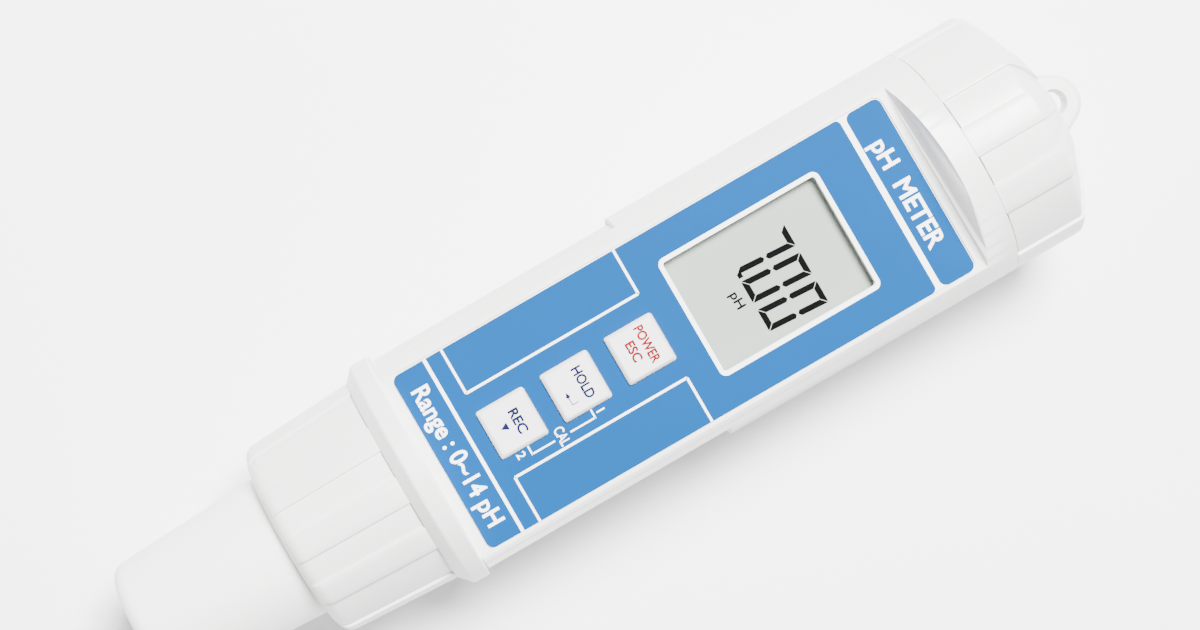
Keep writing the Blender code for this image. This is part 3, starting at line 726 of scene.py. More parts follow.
class MeterBodySizes(bpy.types.PropertyGroup):
    """Sizes of the body tube."""
    edge: bpy.props.FloatProperty(name="Edge rounding", description="Width of the moulded edge rounding",
                                  default=0.16 * MM, min=0.0, **LENGTH)
    seam: bpy.props.FloatProperty(name="Seam",
                                  description="How far the two end shoulders stand towards the caps",
                                  default=0.16 * MM, min=0.0, **LENGTH)
    ridge: bpy.props.FloatProperty(name="Thread ridge", description="Radius of the thread's ridge",
                                   default=0.42 * MM, min=0.0, **LENGTH)


class MeterRibSizes(bpy.types.PropertyGroup):
    """Sizes of the gripping ribs on the battery cap and the lock ring."""
    height: bpy.props.FloatProperty(name="Rib height", description="Height of a rib above the hollows",
                                    default=0.5 * MM, min=0.0, **LENGTH)
    narrow: bpy.props.FloatProperty(name="Narrow rib", description="Angle that a front or back rib covers",
                                    default=math.radians(15.0), min=0.01, subtype="ANGLE")
    wide: bpy.props.FloatProperty(name="Side rib", description="Angle that a side rib covers",
                                  default=math.radians(45.0), min=0.01, subtype="ANGLE")


class MeterLabelSizes(bpy.types.PropertyGroup):
    """Sizes of the printed front label."""
    corner: bpy.props.FloatProperty(name="Corner", description="Rounding of the label's corners",
                                    default=1.2 * MM, min=0.0, **LENGTH)
    border: bpy.props.FloatProperty(name="Window border", description="White border round the window",
                                    default=0.75 * MM, min=0.0, **LENGTH)
    line: bpy.props.FloatProperty(name="Line", description="Width of the white lines",
                                  default=0.42 * MM, min=0.0, **LENGTH)


class MeterDisplaySizes(bpy.types.PropertyGroup):
    """Sizes of the digits on the display."""
    digit_height: bpy.props.FloatProperty(name="Digit height", description="Height of a digit",
                                          default=10.43 * MM, min=0.0, **LENGTH)
    digit_width: bpy.props.FloatProperty(name="Digit width", description="Width of a digit",
                                         default=3.94 * MM, min=0.0, **LENGTH)
    stroke: bpy.props.FloatProperty(name="Stroke", description="Width of a segment",
                                    default=0.98 * MM, min=0.0, **LENGTH)
    slant: bpy.props.FloatProperty(name="Slant", description="Sideways lean for each unit of height",
                                   default=0.06, subtype="FACTOR")


class MeterKeySizes(bpy.types.PropertyGroup):
    """Sizes of the push keys."""
    side: bpy.props.FloatProperty(name="Side", description="Width of a key above the face",
                                  default=8.5 * MM, min=0.0, **LENGTH)
    bevel: bpy.props.FloatProperty(name="Bevel", description="Width of the sloping rim",
                                   default=0.6 * MM, min=0.0, **LENGTH)


# ---------------------------------------------------------------- body

RUNNING_GAP = 0.2 * MM                      # seam between a shoulder and the piece that turns on it
SHOULDER = {"cap": span("battery_cap", 0)[0] - 0.3 * MM, "ring": span("lock_ring", 0)[1] + 0.3 * MM}
WINDOW_X = tuple(edge + shift for edge, shift in zip(span("window_lens", 0), (0.7 * MM, -0.7 * MM)))
WINDOW_Y = tuple(edge + shift for edge, shift in zip(span("window_lens", 1), (0.7 * MM, -0.7 * MM)))
KEYS = ("rec", "hold", "power")
KEY_CORNER = 0.7 * MM                      # corner of the openings round a key
ABOVE_FACE = (11 * MM, 13 * MM)            # heights that a cut through the label spans


def middle(node, axis):
    """The middle of a node along one axis."""
    return sum(span(node, axis)) / 2


def key_outline(name, half, corner):
    """A rounded square round one key."""
    x, y = middle("key_" + name, 0), middle("key_" + name, 1)
    return rounded_outline((x - half, x + half), (y - half, y + half), corner)


def widened(limits, by):
    """A range made wider by the same amount at both ends."""
    return limits[0] - by, limits[1] + by


def grip_cutter(name, side, end):
    """A sector that sinks one side of the body for the fingers, with a sloping step at its end."""
    floor, out = 19.05 * MM, 23.0 * MM
    rings = []
    for station in (HOUSING_END, end):
        ring = []
        for radius, angles in ((floor, range(66, 115, 4)), (out, range(114, 65, -4))):
            slope = (radius - floor) * 0.35 if station == end else 0.0
            for degrees in angles:
                angle = math.radians(degrees)
                ring.append(from_axis(station + slope, side * radius * math.sin(angle),
                                      radius * math.cos(angle)))
        rings.append(ring)
    return mesh_object(name, rings_mesh(rings))


class METER_OT_body(bpy.types.Operator):
    """Make the body tube with its flat face, finger grips, openings and threaded necks"""
    bl_idname = "meter.body"
    bl_label = "Body"

    def execute(self, context):
        sizes = context.scene.meter_body
        cap_end, ring_end = span("main_housing", 0)[1], span("main_housing", 0)[0]
        cap_shoulder = SHOULDER["cap"] + sizes.seam
        ring_shoulder = SHOULDER["ring"] - sizes.seam
        neck, probe_neck = 18.1 * MM, 14.8 * MM
        groove_x = (64.0 * MM, 65.7 * MM)
        shell = lathe("body_shell", [
            (cap_end, 0.0), (cap_end, neck - 0.6 * MM), (cap_end - 0.6 * MM, neck), (groove_x[1], neck),
            (groove_x[1], neck - 0.75 * MM), (groove_x[0], neck - 0.75 * MM), (groove_x[0], neck),
            (cap_shoulder, neck), (cap_shoulder, BODY_RADIUS, 0.12 * MM), (HOUSING_END, BODY_RADIUS),
            (-33.35 * MM, 19.75 * MM), (-33.9 * MM, 20.05 * MM, 0.3 * MM), (-36.6 * MM, 20.05 * MM, 0.8 * MM),
            (ring_shoulder, 17.95 * MM, 0.1 * MM), (ring_shoulder, probe_neck),
            (ring_end + 0.6 * MM, probe_neck), (ring_end, probe_neck - 0.6 * MM), (ring_end, 0.0)], 192)

        front = mesh_object("front_cut", side_prism_mesh(
            [(-33.6 * MM, FACE_UP), (57.9 * MM, FACE_UP), (59.67 * MM, 21.5 * MM), (-33.4 * MM, 21.5 * MM)],
            -25 * MM, 25 * MM))
        grips = [grip_cutter("grip_left", 1, 10.6 * MM), grip_cutter("grip_right", -1, 10.6 * MM)]
        carve(shell, [front] + grips)
        pad = plate("back_pad", rounded_outline((-22 * MM, 48 * MM), (-6 * MM, 6 * MM), 1.2 * MM),
                    -AXIS_Z, -18.5 * MM)
        carve(shell, [pad], "UNION")

        label_x, label_y = span("face_label", 0), span("face_label", 1)
        lens = span("window_lens", 2)
        inside = [
            flattened_rod(-31.5 * MM, 57.4 * MM, 17.9 * MM, 9.75 * MM),
            flattened_rod(57.0 * MM, 60.4 * MM, 16.45 * MM, 9.6 * MM),
            mesh_object("cap_bore", lathe_mesh([(60 * MM, 0.0), (60 * MM, 16.55 * MM), (73 * MM, 16.55 * MM),
                                                (73 * MM, 0.0)], 96)),
            mesh_object("probe_bore", lathe_mesh([(-47 * MM, 0.0), (-47 * MM, 12.9 * MM),
                                                  (-36 * MM, 12.9 * MM), (-36 * MM, 0.0)], 96)),
            mesh_object("socket_bore", lathe_mesh([(-37 * MM, 0.0), (-37 * MM, 8.5 * MM),
                                                   (-30.5 * MM, 8.5 * MM), (-30.5 * MM, 0.0)], 64)),
        ]
        carve(shell, inside)
        openings = [
            plate("label_recess", rounded_outline(widened(label_x, 0.3 * MM), widened(label_y, 0.3 * MM),
                                                  1.5 * MM), 11.4 * MM, 14 * MM),
            plate("window_cut", rounded_outline(WINDOW_X, WINDOW_Y, 0.5 * MM), 9 * MM, 14 * MM),
            plate("lens_pocket", rounded_outline(widened(WINDOW_X, 1 * MM), widened(WINDOW_Y, 1 * MM),
                                                 0.8 * MM), 9 * MM, lens[1] + 0.3 * MM),
        ]
        half = context.scene.meter_keys.side / 2 + 0.07 * MM
        openings += [plate("well_" + name, key_outline(name, half, KEY_CORNER), 9 * MM, 14 * MM)
                     for name in KEYS]
        carve(shell, openings)
        ease_edges(shell, sizes.edge)
        keep(shell, "abs", "housing", "housing_plastic", "main_housing")

        thread("cap_neck_thread", 66.4 * MM, 4.2 * MM, neck - 0.1 * MM, sizes.ridge, CAP_TURN_PITCH,
               "housing", "housing_plastic")
        thread("probe_neck_thread", -44.6 * MM, 5.0 * MM, probe_neck - 0.15 * MM, sizes.ridge * 0.75,
               RING_TURN_PITCH, "housing", "housing_plastic")
        return {"FINISHED"}


# ---------------------------------------------------------------- label

LABEL_X, LABEL_Y = span("face_label", 0), span("face_label", 1)
FILM_BASE, FILM_TOP = span("face_label", 2)
INK = FILM_TOP + 0.02 * MM                 # the printed lines and letters lie on the blue ink


class METER_OT_label(bpy.types.Operator):
    """Make the printed front label: white film, blue panels, white lines and letters"""
    bl_idname = "meter.label"
    bl_label = "Front label"

    def execute(self, context):
        sizes = context.scene.meter_label
        half_hole = context.scene.meter_keys.side / 2 + 0.1 * MM
        film = plate("front_film", rounded_outline(LABEL_X, LABEL_Y, sizes.corner), FILM_BASE, FILM_TOP)
        holes = [plate("window_hole", rounded_outline(WINDOW_X, WINDOW_Y, 0.5 * MM), *ABOVE_FACE)]
        holes += [plate("hole_" + name, key_outline(name, half_hole, KEY_CORNER), *ABOVE_FACE)
                  for name in KEYS]
        carve(film, holes)
        keep(film, "film_white", "housing", "label_film", "face_label")

        strip, divider = -26.0 * MM, -25.4 * MM
        gap = (49.2 * MM, 50.2 * MM)
        panels = {
            "range_panel": ((LABEL_X[0], strip), (0.0, sizes.corner, sizes.corner, 0.0)),
            "main_panel": ((divider, gap[0]), (0.9 * MM, 0.0, 0.0, 0.9 * MM)),
            "title_panel": ((gap[1], LABEL_X[1]), (sizes.corner,) * 4),
        }
        for name, (x, corners) in panels.items():
            panel = plate(name, rounded_outline(x, LABEL_Y, corners), FILM_TOP - 0.01 * MM, INK)
            if name == "main_panel":
                border = rounded_outline(widened(WINDOW_X, sizes.border), widened(WINDOW_Y, sizes.border),
                                         sizes.corner)
                cuts = [plate("border_hole", border, *ABOVE_FACE)]
                cuts += [plate("ink_hole_" + key, key_outline(key, half_hole, KEY_CORNER), *ABOVE_FACE)
                         for key in KEYS]
                carve(panel, cuts)
            keep(panel, "film_blue", "housing", "label_film")

        self.print_boxes(sizes.line)
        self.print_calibration_mark(0.28 * MM)
        for name, text, x, y, cap_height, length, boldness in (
                ("range_letters", "Range : 0~14 pH", -28.6, -0.2, 2.8, 24.5, 0.03),
                ("title_letters", "pH  METER", 52.9, 0.0, 2.87, 19.0, 0.035),
                ("cal_letters", "CAL", -12.97, -5.68, 1.6, 3.0, 0.02),
                ("cal_one", "1", -5.73, -5.2, 1.4, None, 0.02),
                ("cal_two", "2", -20.0, -5.1, 1.4, None, 0.02)):
            lettering(name, text, (x * MM, y * MM), INK, cap_height * MM, "ink_white", "housing",
                      "label_film", length * MM if length else None, boldness)
        return {"FINISHED"}

    def print_boxes(self, width):
        """Two open boxes of white line that reach the label's long edges."""
        start, end, inner = -22.6 * MM, 8.5 * MM, 7.6 * MM
        for side, y in (("left", (inner, LABEL_Y[1])), ("right", (LABEL_Y[0], -inner))):
            edge = y[0] if side == "left" else y[1]
            lines = [
                (widened((start, start), width / 2), y),
                (widened((end, end), width / 2), y),
                ((start, end), widened((edge, edge), width / 2)),
            ]
            for index, (across, along) in enumerate(lines):
                marking("box_%s_%d" % (side, index), bar(across, along), INK, "ink_white", "housing",
                        "label_film")

    def print_calibration_mark(self, width):
        """The bracket from the hold and record keys to the letters between them."""
        key_edge, elbow = -4.35 * MM, -5.8 * MM
        for name, x, end in (("hold", -7.03 * MM, -11.5 * MM), ("rec", -18.4 * MM, -14.3 * MM)):
            marking("bracket_%s_stem" % name,
                    bar(widened((x, x), width / 2), (elbow - width / 2, key_edge)), INK, "ink_white",
                    "housing", "label_film")
            marking("bracket_%s_arm" % name,
                    bar(sorted((x, end)), widened((elbow, elbow), width / 2)), INK, "ink_white", "housing",
                    "label_film")


# ---------------------------------------------------------------- display

def segment_outline(segment, width, height, stroke):
    """A segment's corners, across and up from the digit's lower left, mitred towards its neighbours."""
    cut, gap, tip = 0.25 * stroke, 0.08 * stroke, height / 2
    if segment in ("top", "bottom"):
        corners = [(cut, 0.0), (width - cut, 0.0), (width - cut + gap, gap), (width - stroke - gap, stroke),
                   (stroke + gap, stroke), (cut - gap, gap)]
    elif segment == "middle":
        half = stroke / 2
        corners = [(half + gap, tip), (stroke + gap, tip + half), (width - stroke - gap, tip + half),
                   (width - half - gap, tip), (width - stroke - gap, tip - half), (stroke + gap, tip - half)]
    else:
        corners = [(0.0, cut), (gap, cut - gap), (stroke, stroke + gap), (stroke, tip - 0.55 * stroke),
                   (0.5 * stroke, tip - 0.14 * stroke), (0.0, tip - 0.55 * stroke)]
    if segment == "top" or segment.startswith("upper"):
        corners = [(across, height - up) for across, up in corners]
    if segment.endswith("right"):
        corners = [(width - across, up) for across, up in corners]
    return corners


LIT = {
    "7": ("top", "upper_right", "lower_right"),
    "0": ("top", "bottom", "upper_left", "upper_right", "lower_left", "lower_right"),
}


class METER_OT_display(bpy.types.Operator):
    """Make the display cell, its digits and the clear window over it"""
    bl_idname = "meter.display"
    bl_label = "Display"

    def execute(self, context):
        sizes = context.scene.meter_display
        low, top = span("display_cell", 2)
        x, y = span("display_cell", 0), span("display_cell", 1)
        cell = plate("display_glass", rounded_outline(x, y, 0.4 * MM), low, top)
        ease_edges(cell, 0.08 * MM)
        keep(cell, "display", "housing", "display_glass", "display_cell")

        baseline, pitch = 23.58 * MM, 5.12 * MM
        first = 6.1 * MM
        for place, digit in enumerate("700"):
            left = first - place * pitch
            for segment in LIT[digit]:
                outline = [(baseline + up, left - across - up * sizes.slant) for across, up in
                           segment_outline(segment, sizes.digit_width, sizes.digit_height, sizes.stroke)]
                marking("digit_%d_%s" % (place + 1, segment), outline, top + 0.02 * MM, "ink_black",
                        "housing", "display_glass", 0.01 * MM)
        dot = 0.79 * MM
        corner = (baseline, 2.25 * MM)
        marking("decimal_point", bar((corner[0], corner[0] + dot), (corner[1] - dot, corner[1])),
                top + 0.02 * MM, "ink_black", "housing", "display_glass", 0.01 * MM)
        lettering("unit_letters", "pH", (21.75 * MM, -1.3 * MM), top + 0.03 * MM, 1.5 * MM, "ink_black",
                  "housing", "display_glass", 2.72 * MM, 0.03)

        lens = plate("clear_window", rounded_outline(span("window_lens", 0), span("window_lens", 1),
                                                     0.6 * MM), *span("window_lens", 2))
        ease_edges(lens, 0.06 * MM)
        keep(lens, "acrylic", "housing", "lens_acrylic", "window_lens")
        return {"FINISHED"}


# ---------------------------------------------------------------- keys

class METER_OT_keys(bpy.types.Operator):
    """Make the three push keys with their printed words and signs"""
    bl_idname = "meter.keys"
    bl_label = "Keys"

    def execute(self, context):
        sizes = context.scene.meter_keys
        half = sizes.side / 2
        for name in KEYS:
            node = "key_" + name
            low, top = span(node, 2)
            flange = (span(node, 0)[1] - span(node, 0)[0]) / 2
            lip = 9.45 * MM
            sections = [
                (key_outline(name, flange, 1.0 * MM), low), (key_outline(name, flange, 1.0 * MM), lip),
                (key_outline(name, half, 0.5 * MM), lip), (key_outline(name, half, 0.5 * MM), top - 0.8 * MM),
                (key_outline(name, half - sizes.bevel * 0.2, 0.5 * MM), top - 0.55 * MM),
                (key_outline(name, half - sizes.bevel * 0.75, 0.5 * MM), top - 0.13 * MM),
                (key_outline(name, half - sizes.bevel, 0.45 * MM), top - 0.03 * MM),
                (key_outline(name, half - sizes.bevel - 0.4 * MM, 0.4 * MM), top - 0.03 * MM),
                (key_outline(name, half * 0.45, 0.3 * MM), top - 0.05 * MM),
            ]
            key = mesh_object(name + "_key_cap", prism_mesh(sections))
            keep(key, "silicone", name + "_key", "key_silicone", node)

        legends = (
            ("power_word", "POWER", 5.7, 0.17, 1.46, 6.34, "ink_red", "power_key"),
            ("escape_word", "ESC", 3.3, 0.19, 1.46, 3.35, "ink_red", "power_key"),
            ("hold_word", "HOLD", -5.9, 0.06, 1.52, 5.36, "ink_navy", "hold_key"),
            ("record_word", "REC", -17.7, -0.09, 1.52, 4.1, "ink_navy", "rec_key"),
        )
        print_height = span("key_hold", 2)[1] - 0.025 * MM
        for name, text, x, y, cap_height, length, ink, body in legends:
            lettering(name, text, (x * MM, y * MM), print_height, cap_height * MM, ink, body, "key_silicone",
                      length * MM, 0.05)
        triangle = [(-20.75 * MM, 0.02 * MM), (-19.5 * MM, -0.62 * MM), (-19.5 * MM, 0.66 * MM)]
        marking("record_arrow", triangle, print_height, "ink_navy", "rec_key", "key_silicone", 0.015 * MM)
        enter_x, enter_y = -9.13 * MM, -2.2 * MM
        line = 0.13 * MM
        strokes = {
            "enter_stem": bar((enter_x, enter_x + 1.1 * MM), widened((enter_y, enter_y), line / 2)),
            "enter_arm": bar(widened((enter_x, enter_x), line / 2), (enter_y - line / 2, -1.0 * MM)),
            "enter_head": [(enter_x, -1.15 * MM), (enter_x - 0.36 * MM, -0.8 * MM), (enter_x, -0.05 * MM),
                           (enter_x + 0.36 * MM, -0.8 * MM)],
        }
        for name, outline in strokes.items():
            marking(name, outline, print_height, "ink_navy", "hold_key", "key_silicone", 0.015 * MM)
        return {"FINISHED"}


# ---------------------------------------------------------------- ribs

def rib_mesh(profile, half_angle, centre, depth=0.7 * MM):
    """One gripping rib: a slab that follows a profile of (station, radius), its long edges eased."""
    tangents = [Vector(after) - Vector(before) for before, after in
                zip([profile[0]] + profile[:-1], profile[1:] + [profile[-1]])]
    radius = profile[0][1]
    columns = [(half_angle, -0.2 * MM), (half_angle - 0.04 * MM / radius, -0.05 * MM),
               (half_angle - 0.14 * MM / radius, 0.0)]
    inner_steps = max(2, round(half_angle / math.radians(2.0)))
    columns = [(-angle, drop) for angle, drop in columns] + \
        [(columns[2][0] * (2 * step / inner_steps - 1), 0.0) for step in range(1, inner_steps)] + columns[::-1]
    bm = bmesh.new()
    outer, inner = [], []
    for (station, radius), tangent in zip(profile, tangents):
        normal = Vector((tangent.y, -tangent.x)).normalized()
        if normal.y < 0:
            normal.negate()
        for sheet, lift in ((outer, 0.0), (inner, -depth)):
            row = []
            for angle, drop in columns:
                point = Vector((station, radius)) + normal * (lift or drop)
                turned = centre + angle
                row.append(bm.verts.new(from_axis(point.x, -point.y * math.sin(turned),
                                                  point.y * math.cos(turned))))
            sheet.append(row)
    for sheet in (outer, inner):
        for first, second in zip(sheet, sheet[1:]):
            for index in range(len(columns) - 1):
                bm.faces.new((first[index], first[index + 1], second[index + 1], second[index]))
    for first, second in ((outer[0], inner[0]), (outer[-1], inner[-1])):
        for index in range(len(columns) - 1):
            bm.faces.new((first[index], first[index + 1], second[index + 1], second[index]))
    for side in (0, -1):
        for row in range(len(profile) - 1):
            bm.faces.new((outer[row][side], outer[row + 1][side], inner[row + 1][side], inner[row][side]))
    bmesh.ops.recalc_face_normals(bm, faces=bm.faces)
    return bm


def rib_set(name, profile, middle_degrees, body, sizes):
    """Three ribs in front, three behind and a wide one each side, about a middle rib's angle."""
    middle = math.radians(middle_degrees)
    quarter = math.pi / 2
    for kind, angle, width in (("first", -2 * sizes.narrow, sizes.narrow), ("middle", 0.0, sizes.narrow),
                               ("last", 2 * sizes.narrow, sizes.narrow), ("side", quarter, sizes.wide)):
        ribs = mesh_object("%s_%s" % (name, kind), rib_mesh(profile, width / 2, middle + angle))
        run_tree(ribs, TREES["ring"], {"Count": 2, "First Angle": 0.0, "Axis Height": AXIS_Z,
                                       "Material": MATERIALS["abs"]})
        keep(ribs, "abs", body, "housing_plastic")


# ---------------------------------------------------------------- battery cap

EAR_RADIUS = 4.6 * MM


class METER_OT_battery_cap(bpy.types.Operator):
    """Make the domed battery cap with its ribs, strap ear and inner thread"""
    bl_idname = "meter.battery_cap"
    bl_label = "Battery cap"

    def execute(self, context):
        sizes = context.scene.meter_ribs
        start = SHOULDER["cap"] + RUNNING_GAP
        tip = span("battery_cap", 0)[1]
        outer, flat = BODY_RADIUS, 80.4 * MM
        straight, dome = 75.4 * MM, 34.0 * MM
        centre = straight - math.sqrt(dome ** 2 - outer ** 2)
        skin = [(start, outer), (straight - 0.9 * MM, outer)]
        flat_radius = math.sqrt(dome ** 2 - (flat - centre) ** 2)
        steps = 14
        for step in range(steps + 1):
            radius = outer - (outer - flat_radius) * step / steps
            skin.append((centre + math.sqrt(dome ** 2 - radius ** 2), radius))
        skin[2:3] = [(straight - 0.2 * MM, outer - 0.06 * MM), (straight + 0.35 * MM, outer - 0.45 * MM)]

        hollow = []
        for before, here, after in zip([skin[0]] + skin[:-1], skin, skin[1:] + [skin[-1]]):
            along = Vector(after) - Vector(before)
            inward = Vector((along.y, -along.x)).normalized()
            if inward.y > 0:
                inward.negate()
            point = Vector(here) + inward * sizes.height
            hollow.append((point.x, point.y))
        hollow[0] = (start + 0.3 * MM, hollow[0][1])       # the hollows leave an open seam at the shoulder
        profile = [(flat - 0.5 * MM, 0.0)] + hollow[::-1]
        profile += [(start + 0.3 * MM, 18.6 * MM), (73.2 * MM, 18.6 * MM), (77.2 * MM, 12.0 * MM),
                    (77.2 * MM, 0.0)]
        shell = mesh_object("battery_cap_shell", lathe_mesh(profile, 192))

        ear = self.strap_ear(tip)
        carve(shell, [ear], "UNION")
        hole_centre = tip - EAR_RADIUS
        hole = mesh_object("strap_hole", prism_mesh([
            ([(hole_centre + radius * math.cos(math.pi * step / 24), radius * math.sin(math.pi * step / 24))
              for step in range(48)], height)
            for height, radius in ((-3 * MM, 3.1 * MM), (-1.3 * MM, 1.95 * MM), (1.3 * MM, 1.95 * MM),
                                   (3 * MM, 3.1 * MM))]))
        carve(shell, [hole])
        ease_edges(shell, 0.12 * MM, 2, 40.0)
        keep(shell, "abs", "cap", "housing_plastic", "battery_cap")
        rib_set("battery_cap_rib", skin, CAP_RIB_ANGLE, "cap", sizes)

        face = lathe("battery_cap_crown", [(flat, 0.0), (flat, flat_radius - 0.1 * MM),
                                           (flat - 0.7 * MM, flat_radius + 0.6 * MM),
                                           (flat - 0.9 * MM, 0.0)], 96)
        keep(face, "abs", "cap", "housing_plastic")
        thread("cap_inner_thread", 66.0 * MM, 5.2 * MM, 18.75 * MM, 0.3 * MM, CAP_TURN_PITCH, "cap",
               "housing_plastic")
        return {"FINISHED"}

    def strap_ear(self, tip):
        """A flat ear with a round end, thicker where it grows out of the dome."""
        centre, radius, half = tip - EAR_RADIUS, EAR_RADIUS, 1.75 * MM
        outline = [(78.6 * MM, 8.2 * MM), (78.6 * MM, -8.2 * MM), (80.3 * MM, -6.9 * MM),
                   (81.2 * MM, -5.9 * MM)]
        outline += [(centre + radius * math.cos(angle), radius * math.sin(angle))
                    for angle in [math.radians(degrees) for degrees in range(-66, 67, 6)]]
        outline += [(81.2 * MM, 5.9 * MM), (80.3 * MM, 6.9 * MM)]
        middle_x = centre - 0.8 * MM

        def drawn_in(amount):
            """The outline shrunk towards the ear's middle."""
            result = []
            for x, y in outline:
                away = Vector((x - middle_x, y))
                shrunk = away - away.normalized() * amount if x > 79.5 * MM else away
                result.append((middle_x + shrunk.x, shrunk.y))
            return result

        sections = [(drawn_in(0.9 * MM), -half), (drawn_in(0.35 * MM), -half * 0.86),
                    (drawn_in(0.08 * MM), -half * 0.6), (outline, -half * 0.25),
                    (outline, half * 0.25), (drawn_in(0.08 * MM), half * 0.6),
                    (drawn_in(0.35 * MM), half * 0.86), (drawn_in(0.9 * MM), half)]
        return mesh_object("strap_ear", prism_mesh(sections), 60.0)


# ---------------------------------------------------------------- lock ring and storage cap

class METER_OT_lock_ring(bpy.types.Operator):
    """Make the ribbed lock ring with its inner thread"""
    bl_idname = "meter.lock_ring"
    bl_label = "Lock ring"

    def execute(self, context):
        sizes = context.scene.meter_ribs
        start = SHOULDER["ring"] - RUNNING_GAP
        end = span("lock_ring", 0)[0]
        skin = [(start, 17.9 * MM), (end + 2.6 * MM, 16.95 * MM), (end + 1.9 * MM, 16.8 * MM),
                (end + 1.3 * MM, 16.45 * MM), (end + 0.8 * MM, 15.85 * MM)]
        hollow = [(x, radius - sizes.height) for x, radius in skin[:2]]
        profile = hollow + [(end + 2.0 * MM, 16.4 * MM), (end + 1.3 * MM, 16.1 * MM),
                            (end + 0.7 * MM, 15.5 * MM), (end + 0.3 * MM, 14.6 * MM), (end, 13.1 * MM),
                            (end + 0.15 * MM, 12.9 * MM), (-48.3 * MM, 12.9 * MM), (-48.3 * MM, 15.3 * MM),
                            (start, 15.3 * MM)]
        shell = mesh_object("lock_ring_shell", lathe_mesh(profile, 192))
        keep(shell, "abs", "ring", "housing_plastic", "lock_ring")
        rib_set("lock_ring_rib", skin, RING_RIB_ANGLE, "ring", sizes)
        thread("ring_inner_thread", -44.4 * MM, 5.0 * MM, 15.42 * MM, 0.28 * MM, RING_TURN_PITCH, "ring",
               "housing_plastic")
        return {"FINISHED"}


class METER_OT_storage_cap(bpy.types.Operator):
    """Make the tapered storage cap and the damp sponge in it"""
    bl_idname = "meter.storage_cap"
    bl_label = "Storage cap"

    def execute(self, context):
        end, mouth = span("storage_cap", 0)
        ring_end = span("lock_ring", 0)[0]
        cup = lathe("storage_cap_cup", [
            (end + 2.2 * MM, 0.0), (end + 2.2 * MM, 8.9 * MM, 1.0 * MM), (mouth, 9.6 * MM, 0.2 * MM),
            (mouth, 12.45 * MM, 0.3 * MM), (ring_end, 12.3 * MM), (end + 0.5 * MM, 11.0 * MM, 2.6 * MM),
            (end, 3.5 * MM), (end, 0.0)], 128, 8)
        keep(cup, "polyethylene", "storage", "storage_plastic", "storage_cap")
        low, high = span("storage_sponge", 0)
        pad = lathe("storage_pad", [(high, 0.0), (high, 8.5 * MM, 0.4 * MM), (low, 8.5 * MM, 0.4 * MM),
                                    (low, 0.0)], 64)
        keep(pad, "sponge", "storage", "sponge", "storage_sponge")
        return {"FINISHED"}


# ---------------------------------------------------------------- electrode

